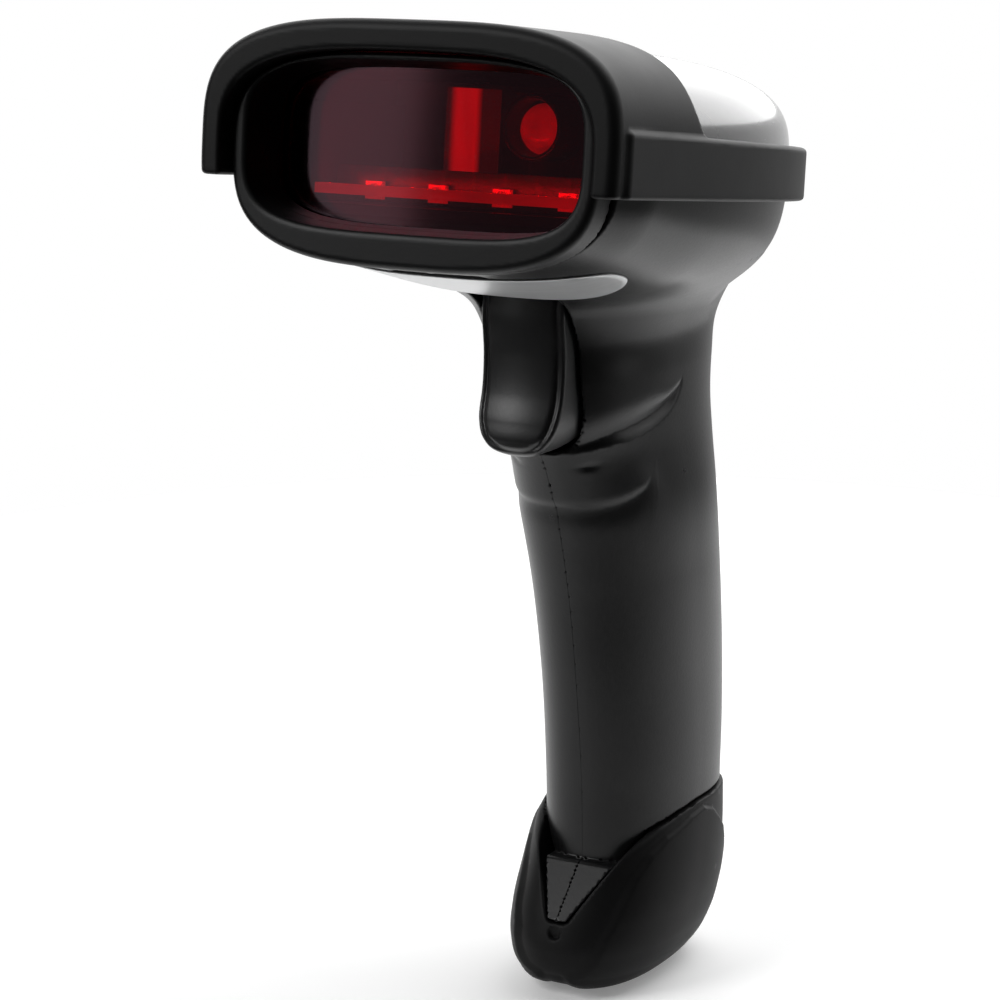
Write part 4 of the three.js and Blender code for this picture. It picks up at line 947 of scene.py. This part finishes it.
def make_finishes():
    """One material for each of the record's slots."""
    rubber = colour("rubber")
    glow = colour("glow")
    return {
        "shell_plastic": moulded_plastic("shell_plastic", colour("shell"), 0.35),
        "gloss_cover": gloss_plastic("gloss_cover", colour("cover")),
        "bumper_rubber": soft_rubber("bumper_rubber", tint(rubber, 1.15), 0.52, 0.26),
        "bezel_plastic": moulded_plastic("bezel_plastic", tint(colour("shell"), 1.15), 0.46, 2200),
        "window_red": tinted_window("window_red", colour("window")),
        "gasket_foam": foam("gasket_foam"),
        "label_film": label_film("label_film", colour("label")),
        "trigger_plastic": moulded_plastic("trigger_plastic", tint(colour("shell"), 1.7), 0.40, 2400, 0.00002,
                                           shine=0.7),
        "boot_rubber": soft_rubber("boot_rubber", tint(rubber, 0.75), 0.52, 0.16),
        "optics_plastic": moulded_plastic("optics_plastic", (0.012, 0.006, 0.008, 1), 0.45, 1800),
        "mirror_face": lit_mirror("mirror_face", glow, 1.3),
        # painted light: the lens is no lamp, and its red emission paints the lamps' light glowing in it
        "lens_glass": glowing("lens_glass", (0.3, 0.02, 0.03, 1), glow, 0.8, 0.05),
        "lamp_red": glowing("lamp_red", (0.7, 0.04, 0.06, 1), glow, 1.0, 0.15, (0.3, 1, 1)),
        "circuit_board": circuit_board("circuit_board"),
        "chip_black": moulded_plastic("chip_black", (0.016, 0.016, 0.018, 1), 0.5, 3000),
        "can_steel": metal("can_steel", (0.55, 0.56, 0.58, 1), 0.3, (0.1, 1, 1)),
        "pin_steel": metal("pin_steel", (0.2, 0.2, 0.21, 1), 0.32, (0.1, 1, 1)),
        "switch_nylon": moulded_plastic("switch_nylon", (0.6, 0.56, 0.46, 1), 0.42),
        "light_pipe": moulded_plastic("light_pipe", (0.45, 0.5, 0.52, 1), 0.12, 1200, 0.00001, 0.05),
        "cell_wrap": cell_wrap("cell_wrap"),
    }


FINISHES = {}


def finish_in(obj, slot):
    obj.data.materials.clear()
    obj.data.materials.append(FINISHES[slot])
    return obj


# ---- Geometry Nodes ----

class Growth:
    """A Geometry Nodes tree with named sizes, and the mesh it grows."""

    def __init__(self, name, sizes, material):
        self.tree = bpy.data.node_groups.new(name, "GeometryNodeTree")
        face = self.tree.interface
        face.new_socket("Geometry", in_out="INPUT", socket_type="NodeSocketGeometry")
        self.ids = {key: face.new_socket(key, in_out="INPUT", socket_type="NodeSocketFloat").identifier
                    for key in sizes}
        face.new_socket("Geometry", in_out="OUTPUT", socket_type="NodeSocketGeometry")
        self.start, self.end = (self.tree.nodes.new(f"NodeGroup{end}") for end in ("Input", "Output"))
        self.name, self.sizes, self.material = name, sizes, material

    def __getitem__(self, key):
        return self.start.outputs[key]

    def node(self, kind, settings=(), values=()):
        return add_node(self.tree, kind, settings, values).outputs[0]

    def times(self, a, b):
        return self.node("ShaderNodeMath", {"operation": "MULTIPLY"}, {0: a, 1: b})

    def vector(self, x=0.0, y=0.0, z=0.0):
        return self.node("ShaderNodeCombineXYZ", values={0: x, 1: y, 2: z})

    def placed(self, geometry, at, turn=(0, 0, 0)):
        return self.node("GeometryNodeTransform",
                         values={"Geometry": geometry, "Translation": at, "Rotation": turn})

    def join(self, *parts):
        return self.node("GeometryNodeJoinGeometry", values={0: list(parts)})

    def grow(self, geometry, points_mm):
        """The tree's mesh on an object whose vertices are the given points."""
        real = self.node("GeometryNodeRealizeInstances", values={0: geometry})
        real = self.node("GeometryNodeSetMaterial", values={"Geometry": real, "Material": self.material})
        self.tree.links.new(real, self.end.inputs[0])
        seed = bpy.data.meshes.new(self.name + "_points")
        seed.from_pydata((np.array(points_mm) * MM).tolist(), [], [])
        obj = new_object(self.name, seed)
        modifier = obj.modifiers.new("grow", "NODES")
        modifier.node_group = self.tree
        for key, value in self.sizes.items():
            modifier[self.ids[key]] = value
        bpy.context.view_layer.update()
        mesh = bpy.data.meshes.new_from_object(obj.evaluated_get(bpy.context.evaluated_depsgraph_get()))
        obj.modifiers.clear()
        obj.data = mesh
        if not mesh.polygons:
            raise RuntimeError(f"{self.name}: its tree grew nothing")
        return obj


def grow_screws():
    """Recessed cross-slotted screws at the three fixing points of the shells."""
    shortest = min(high[0] - low[0] for low, high in SCREWS)
    g = Growth("shell_screws", {"Head radius": SCREW_HEAD_RADIUS * MM, "Head height": SCREW_HEAD_HEIGHT * MM,
                                "Shank radius": SCREW_SHANK_RADIUS * MM,
                                "Shank length": (shortest - SCREW_HEAD_HEIGHT) * MM,
                                "Slot width": 0.55 * MM}, FINISHES["pin_steel"])
    disc = g.node("GeometryNodeMeshCylinder", {"fill_type": "NGON"},
                  {"Vertices": 40, "Radius": g["Head radius"], "Depth": g.times(g["Head height"], 0.7)})
    crown = g.node("GeometryNodeMeshCone", {"fill_type": "NGON"}, {
        "Vertices": 40, "Radius Top": g.times(g["Head radius"], 0.78), "Radius Bottom": g["Head radius"],
        "Depth": g.times(g["Head height"], 0.3)})
    cap = g.join(g.placed(disc, g.vector(z=g.times(g["Head height"], 0.35))),
                 g.placed(crown, g.vector(z=g.times(g["Head height"], 0.7))))
    slots = []
    for turn in (0.0, math.pi / 2):
        bar = g.node("GeometryNodeMeshCube", values={
            "Size": g.vector(g.times(g["Head radius"], 1.25), g["Slot width"], g["Head height"])})
        slots.append(g.placed(bar, g.vector(z=g.times(g["Head height"], 1.0)), (0, 0, turn)))
    cap = g.node("GeometryNodeMeshBoolean", {"operation": "DIFFERENCE"}, {"Mesh 1": cap, "Mesh 2": slots})
    shank = g.node("GeometryNodeMeshCylinder", {"fill_type": "NGON"},
                   {"Vertices": 24, "Radius": g["Shank radius"], "Depth": g["Shank length"]})
    whole = g.join(cap, g.placed(shank, g.vector(z=g.times(g["Shank length"], -0.5))))
    spread = g.node("GeometryNodeInstanceOnPoints",
                    values={"Points": g["Geometry"], "Instance": whole, "Rotation": (0, -math.pi / 2, 0)})
    return g.grow(spread, [(low[0] + SCREW_HEAD_HEIGHT, (low[1] + high[1]) / 2, (low[2] + high[2]) / 2)
                           for low, high in SCREWS])


LAMPS = tuple(f"lamp_{k}" for k in range(1, 5))


def grow_lamps():
    """The row of reading lamps: a square base with a clear dome."""
    g = Growth("reading_lamps", {"Base": 3.0 * MM, "Dome radius": 1.1 * MM, "Dome stand": 0.9 * MM},
               FINISHES["lamp_red"])
    base = g.node("GeometryNodeMeshCube", values={"Size": g.vector(g["Base"], g.times(g["Base"], 0.34),
                                                                    g.times(g["Base"], 0.93))})
    dome = g.node("GeometryNodeMeshUVSphere",
                  values={"Segments": 32, "Rings": 16, "Radius": g["Dome radius"]})
    whole = g.join(base, g.placed(dome, g.vector(y=g.times(g["Dome stand"], -0.75))))
    spread = g.node("GeometryNodeInstanceOnPoints",
                    values={"Points": g["Geometry"], "Instance": whole, "Rotation": (-HEAD_TILT, 0, 0)})
    points = []
    for name in LAMPS:
        low, high = box_mm(name)
        points.append(((low[0] + high[0]) / 2, high[1] - 0.75, (low[2] + high[2]) / 2))
    return g.grow(spread, points)


def grow_spring():
    """The trigger's return spring: wire along a spiral."""
    low, high = box_mm("trigger_spring")
    wire = 0.35
    radius, length = (high[0] - low[0]) / 2 - wire, high[1] - low[1] - 2 * wire
    g = Growth("return_spring", {"Coil radius": radius * MM, "Wire radius": wire * MM, "Length": length * MM},
               FINISHES["pin_steel"])
    spiral = g.node("GeometryNodeCurveSpiral", values={
        "Resolution": 40, "Rotations": 5.0, "Start Radius": g["Coil radius"], "End Radius": g["Coil radius"],
        "Height": g["Length"]})
    ring = g.node("GeometryNodeCurvePrimitiveCircle", values={"Resolution": 12, "Radius": g["Wire radius"]})
    tube = g.node("GeometryNodeCurveToMesh",
                  values={"Curve": spiral, "Profile Curve": ring, "Fill Caps": True})
    turned = g.node("GeometryNodeTransform", values={"Geometry": tube, "Rotation": (-math.pi / 2, 0, 0)})
    spread = g.node("GeometryNodeInstanceOnPoints", values={"Points": g["Geometry"], "Instance": turned})
    return g.grow(spread, [(0, low[1] + wire, SPRING_Z)])


# ---- Pieces ----

class ScannerOperator:
    bl_options = {"REGISTER", "UNDO"}

    def execute(self, context):
        self.make()
        return {"FINISHED"}


class SCANNER_OT_finishes(ScannerOperator, bpy.types.Operator):
    """Make every finish and put it on the frame's own parts"""
    bl_idname, bl_label = "scanner.finishes", "Finishes"

    def make(self):
        FINISHES.update(make_finishes())
        for part in frame["record"]["subparts"]:
            finish_in(frame["nodes"][part["node"]], part["material_slot"])


class SCANNER_OT_hood(ScannerOperator, bpy.types.Operator):
    """Rubber hood over the front and band round the head"""
    bl_idname, bl_label = "scanner.hood", "Hood and band"

    def make(self):
        moulded("hood_and_band", hood_field, (-38, -0.5, -6), (38, 101, 20), 0.5,
                "bumper_rubber", "bumper", in_head=True)


class SCANNER_OT_cover(ScannerOperator, bpy.types.Operator):
    """Glossy top cover and the status light pipe through it"""
    bl_idname, bl_label = "scanner.cover", "Top cover"

    def make(self):
        moulded("top_dome", cover_field, (-35, 7, -0.5), (35, 97.5, 18.5), 0.6,
                "gloss_cover", "top_cover", in_head=True)
        moulded("status_pipe", pipe_field, (-3, LIGHT_PIPE_V - 3, HEAD_TOP - 8),
                (3, LIGHT_PIPE_V + 3, HEAD_TOP + 1), 0.25, "light_pipe", "status_light_pipe", in_head=True)


class SCANNER_OT_bezel(ScannerOperator, bpy.types.Operator):
    """Bezel and its tunnel round the scan window"""
    bl_idname, bl_label = "scanner.bezel", "Bezel"

    def make(self):
        moulded("nose_bezel", bezel_field, (-33, 2, -18.5), (33, 12, 15.5), 0.42,
                "bezel_plastic", "front_bezel", in_head=True)


class SCANNER_OT_shells(ScannerOperator, bpy.types.Operator):
    """Left and right halves of the belly and handle"""
    bl_idname, bl_label = "scanner.shells", "Shell halves"

    def make(self):
        for side, name, node in ((1, "grip_left", "left_shell"), (-1, "grip_right", "right_shell")):
            low, high = box_mm(node)
            moulded(name, lambda p: shell_field(p, side), low, high, 0.56, "shell_plastic", node,
                    seam=(grip_field, side * SKIN_SEAM))


class SCANNER_OT_screws(ScannerOperator, bpy.types.Operator):
    """Screws that hold the shell halves together"""
    bl_idname, bl_label = "scanner.screws", "Screws"

    def make(self):
        fit(grow_screws(), "housing", "pin_steel", *SCREW_NODES)


class SCANNER_OT_label(ScannerOperator, bpy.types.Operator):
    """Blank oval label on the belly"""
    bl_idname, bl_label = "scanner.label", "Label"
    centre, half_width, half_length, power = 25.0, 25.0, 11.0, 2.4

    def belly(self, x, v, rise):
        """Height of the belly's skin below a place in plan, found by halving."""
        top, bottom = np.full(len(x), -3.0), np.full(len(x), -30.0)
        for _ in range(26):
            middle = (top + bottom) / 2
            out = head_skin(np.stack([x, v, middle], axis=1)) > rise
            bottom, top = np.where(out, middle, bottom), np.where(out, top, middle)
        return (top + bottom) / 2

    def make(self):
        rings, spokes = 26, 144
        turn = np.linspace(0, 2 * math.pi, spokes, endpoint=False)
        reach = (np.abs(np.cos(turn)) ** self.power + np.abs(np.sin(turn)) ** self.power) ** (-1 / self.power)
        points, faces = [], []
        shares = [(k / rings, 0.34) for k in range(rings)] + [(1.0, 0.30), (1.004, 0.2), (1.004, 0.06)]
        for share, rise in shares:
            share = max(share, 1e-3)
            x = self.half_width * share * np.cos(turn) * reach
            v = self.centre + self.half_length * share * np.sin(turn) * reach
            v = np.maximum(v, COVER_FRONT + 0.4)
            points.append(np.stack([x, v, self.belly(x, v, rise)], axis=1))
        for r in range(len(shares) - 1):
            for k in range(spokes):
                a, b = r * spokes + k, r * spokes + (k + 1) % spokes
                faces.append((a, b, b + spokes, a + spokes))
        faces.append(tuple(range(spokes))[::-1])
        faces.append(tuple(range((len(shares) - 1) * spokes, len(shares) * spokes)))
        label = mesh_object("blank_label", from_head(np.vstack(points)), faces)
        face_outward(label)
        fit(label, "housing", "label_film", "underside_label")


class SCANNER_OT_trigger(ScannerOperator, bpy.types.Operator):
    """Trigger and its return spring"""
    bl_idname, bl_label = "scanner.trigger", "Trigger"

    def make(self):
        low, high = box_mm("trigger")
        moulded("trigger_lever_pad", trigger_field, low - 0.5, high + 0.5, 0.34,
                "trigger_plastic", "trigger", "trigger_lever")
        spring = fit(grow_spring(), "housing", "pin_steel", "trigger_spring")
        low, high = box_mm("trigger_spring")
        SPRING_Z * MM
        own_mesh(spring)


class SCANNER_OT_boot(ScannerOperator, bpy.types.Operator):
    """Rubber boot round the foot of the handle"""
    bl_idname, bl_label = "scanner.boot", "Boot"

    def make(self):
        moulded("boot_cup", boot_field, (-16, -21.5, 0), (16, 30.5, 30.5), 0.42, "boot_rubber", "boot")


class SCANNER_OT_optics(ScannerOperator, bpy.types.Operator):
    """Reading lamps, lens and lens barrel behind the window"""
    bl_idname, bl_label = "scanner.optics", "Optics"

    def make(self):
        fit(grow_lamps(), "housing", "lamp_red", *LAMPS)
        back = Vector((0, math.cos(HEAD_TILT), -math.sin(HEAD_TILT)))
        for name, node, slot, profile in (
            ("scan_lens", "lens", "lens_glass",
             [(4.0 * math.sin(a), 3.2 * (1 - math.cos(a))) for a in np.linspace(0, math.pi / 2, 14)]
             + [(3.9, 3.7), (0, 3.7)]),
            ("lens_tube", "lens_barrel", "optics_plastic",
             [(4.3, 0.5), (4.5, 0.1), (4.8, 0), (5.0, 0.1), (5.2, 0.5), (5.2, 8.6), (4.9, 9.0), (4.3, 9.0)]),
        ):
            low, high = box_mm(node)
            centre = (low + high) / 2
            centre[1] = low[1] + (0.4 if node == "lens" else 0.5)
            if node == "lens_barrel":
                centre[2] = high[2] - 5.2 * math.cos(HEAD_TILT)
            fit(lathe(name, profile, centre, back), "housing", slot, node)


# ---- Stage ----

FLOOR_RADIUS, FLOOR_CENTRE = 0.26, (-0.08, 0.14, 0)
CAMERA_PLACE, CAMERA_AIM, CAMERA_LENS = (0.2321, -0.4401, 0.1920), (0, -0.038, 0.0908), 106.9


def aimed(obj, place, aim):
    obj.location = place
    obj.rotation_euler = (Vector(aim) - Vector(place)).to_track_quat("-Z", "Y").to_euler()
    return obj


def area_light(name, place, aim, size, power, tone=(1, 1, 1)):
    lamp = bpy.data.lights.new(name, "AREA")
    lamp.shape, lamp.size, lamp.size_y = "RECTANGLE", *size
    lamp.energy, lamp.color = power, tone
    return aimed(new_object(name, lamp), place, aim)


def plain_sky():
    """Even white where the camera looks past the floor; dim in front of the scanner, bright behind it."""
    world = bpy.data.worlds.new("studio")
    bpy.context.scene.world = world
    world.use_nodes = True
    tree = world.node_tree

    place = add_node(tree, "ShaderNodeTexCoord").outputs["Generated"]
    along = add_node(tree, "ShaderNodeVectorMath", {"operation": "DOT_PRODUCT"},
                     {0: place, 1: (-0.42, 0.88, 0.22)})
    level = add_node(tree, "ShaderNodeMapRange", {"interpolation_type": "SMOOTHSTEP"},
                     {0: along.outputs["Value"], 1: 0.3, 2: 1.0, 3: 0.02, 4: 0.7})
    seen = add_node(tree, "ShaderNodeLightPath").outputs["Is Camera Ray"]
    mixed = add_node(tree, "ShaderNodeMix", values={0: seen, 2: level.outputs[0], 3: 1.0})
    for key, value in (("Strength", mixed.outputs[0]), ("Color", (1, 1, 1, 1))):
        feed(tree, tree.nodes["Background"].inputs[key], value)


class SCANNER_OT_stage(ScannerOperator, bpy.types.Operator):
    """Floor, studio light and camera"""
    bl_idname, bl_label = "scanner.stage", "Stage"

    def make(self):
        scene = bpy.context.scene
        turn = np.linspace(0, 2 * math.pi, 128, endpoint=False)
        rim = (np.stack([np.cos(turn), np.sin(turn), 0 * turn], axis=1) * FLOOR_RADIUS + FLOOR_CENTRE) / MM
        floor = mesh_object("floor", rim, [tuple(range(128))])
        f = Finish("pale_floor")
        cloud = f.noise(0.6, 2)
        f.set(Base_Color=f.mix(cloud, (0.86, 0.86, 0.86, 1), (0.9, 0.9, 0.9, 1)), Roughness=0.8 + cloud * 0.1,
              Emission_Color=(1, 1, 1, 1), Emission_Strength=0.2)
        floor.data.materials.append(f.material)
        plain_sky()
        area_light("back_softbox", (-0.18, 1.02, 0.62), (0, 0.0, 0.14), (2.0, 0.9), 10.5)
        area_light("right_strip", (0.95, 0.55, 0.35), (0, 0, 0.08), (0.3, 1.0), 1.6)
        area_light("left_strip", (-0.85, 0.4, 0.3), (0, 0, 0.08), (0.3, 1.0), 2.2)
        area_light("front_left_softbox", (-0.57, -0.70, 0.72), (0, -0.02, 0.08), (0.45, 0.7), 5.2)
        area_light("crown_softbox", (0.25, 0.50, 1.05), (0, 0.0, 0.16), (1.0, 0.8), 7)
        for name, place, size, power in (("window_card", (-0.205, -0.317, 0.168), (0.07, 0.15), 0.03),
                                         ("window_haze", (-0.15, -0.345, 0.165), (0.20, 0.20), 0.012)):
            area_light(name, place, (0, -0.07, 0.149), size, power).visible_camera = False
        lamps, mirror = from_head(np.array([[0, 17.2, -6.0], [0, 40.0, 4.0]])) * MM
        area_light("lamp_glow", lamps, mirror, (0.048, 0.002), 0.016, colour("glow")[:3])
        camera = bpy.data.cameras.new("camera")
        camera.lens, camera.sensor_width = CAMERA_LENS, 36
        camera.clip_start, camera.clip_end = 0.02, 50
        scene.camera = aimed(new_object("camera", camera), CAMERA_PLACE, CAMERA_AIM)
        scene.view_settings.view_transform = "Standard"


OPERATORS = (
    SCANNER_OT_finishes, SCANNER_OT_hood, SCANNER_OT_cover, SCANNER_OT_bezel, SCANNER_OT_shells,
    SCANNER_OT_screws, SCANNER_OT_label, SCANNER_OT_trigger, SCANNER_OT_boot, SCANNER_OT_optics,
    SCANNER_OT_stage,
)


class SCANNER_PT_panel(bpy.types.Panel):
    """Buttons for each piece, and the sizes and colours they use"""
    bl_idname, bl_label = "SCANNER_PT_panel", "Handheld scanner"
    bl_space_type, bl_region_type, bl_category = "VIEW_3D", "UI", "Scanner"

    def draw(self, context):
        for group in (context.scene.scanner_sizes, context.scene.scanner_colours):
            for key in group.__annotations__:
                self.layout.prop(group, key)
        for operator in OPERATORS:
            self.layout.operator(operator.bl_idname)


CLASSES = (ScannerSizes, ScannerColours, *OPERATORS, SCANNER_PT_panel)


def register():
    for cls in CLASSES:
        bpy.utils.register_class(cls)
    bpy.types.Scene.scanner_sizes = bpy.props.PointerProperty(type=ScannerSizes)
    bpy.types.Scene.scanner_colours = bpy.props.PointerProperty(type=ScannerColours)


def unregister():
    del bpy.types.Scene.scanner_colours
    del bpy.types.Scene.scanner_sizes
    for cls in reversed(CLASSES):
        bpy.utils.unregister_class(cls)


def main():
    register()
    for operator in OPERATORS:
        group, name = operator.bl_idname.split(".")
        getattr(getattr(bpy.ops, group), name)()


if __name__ == "__main__":
    main()
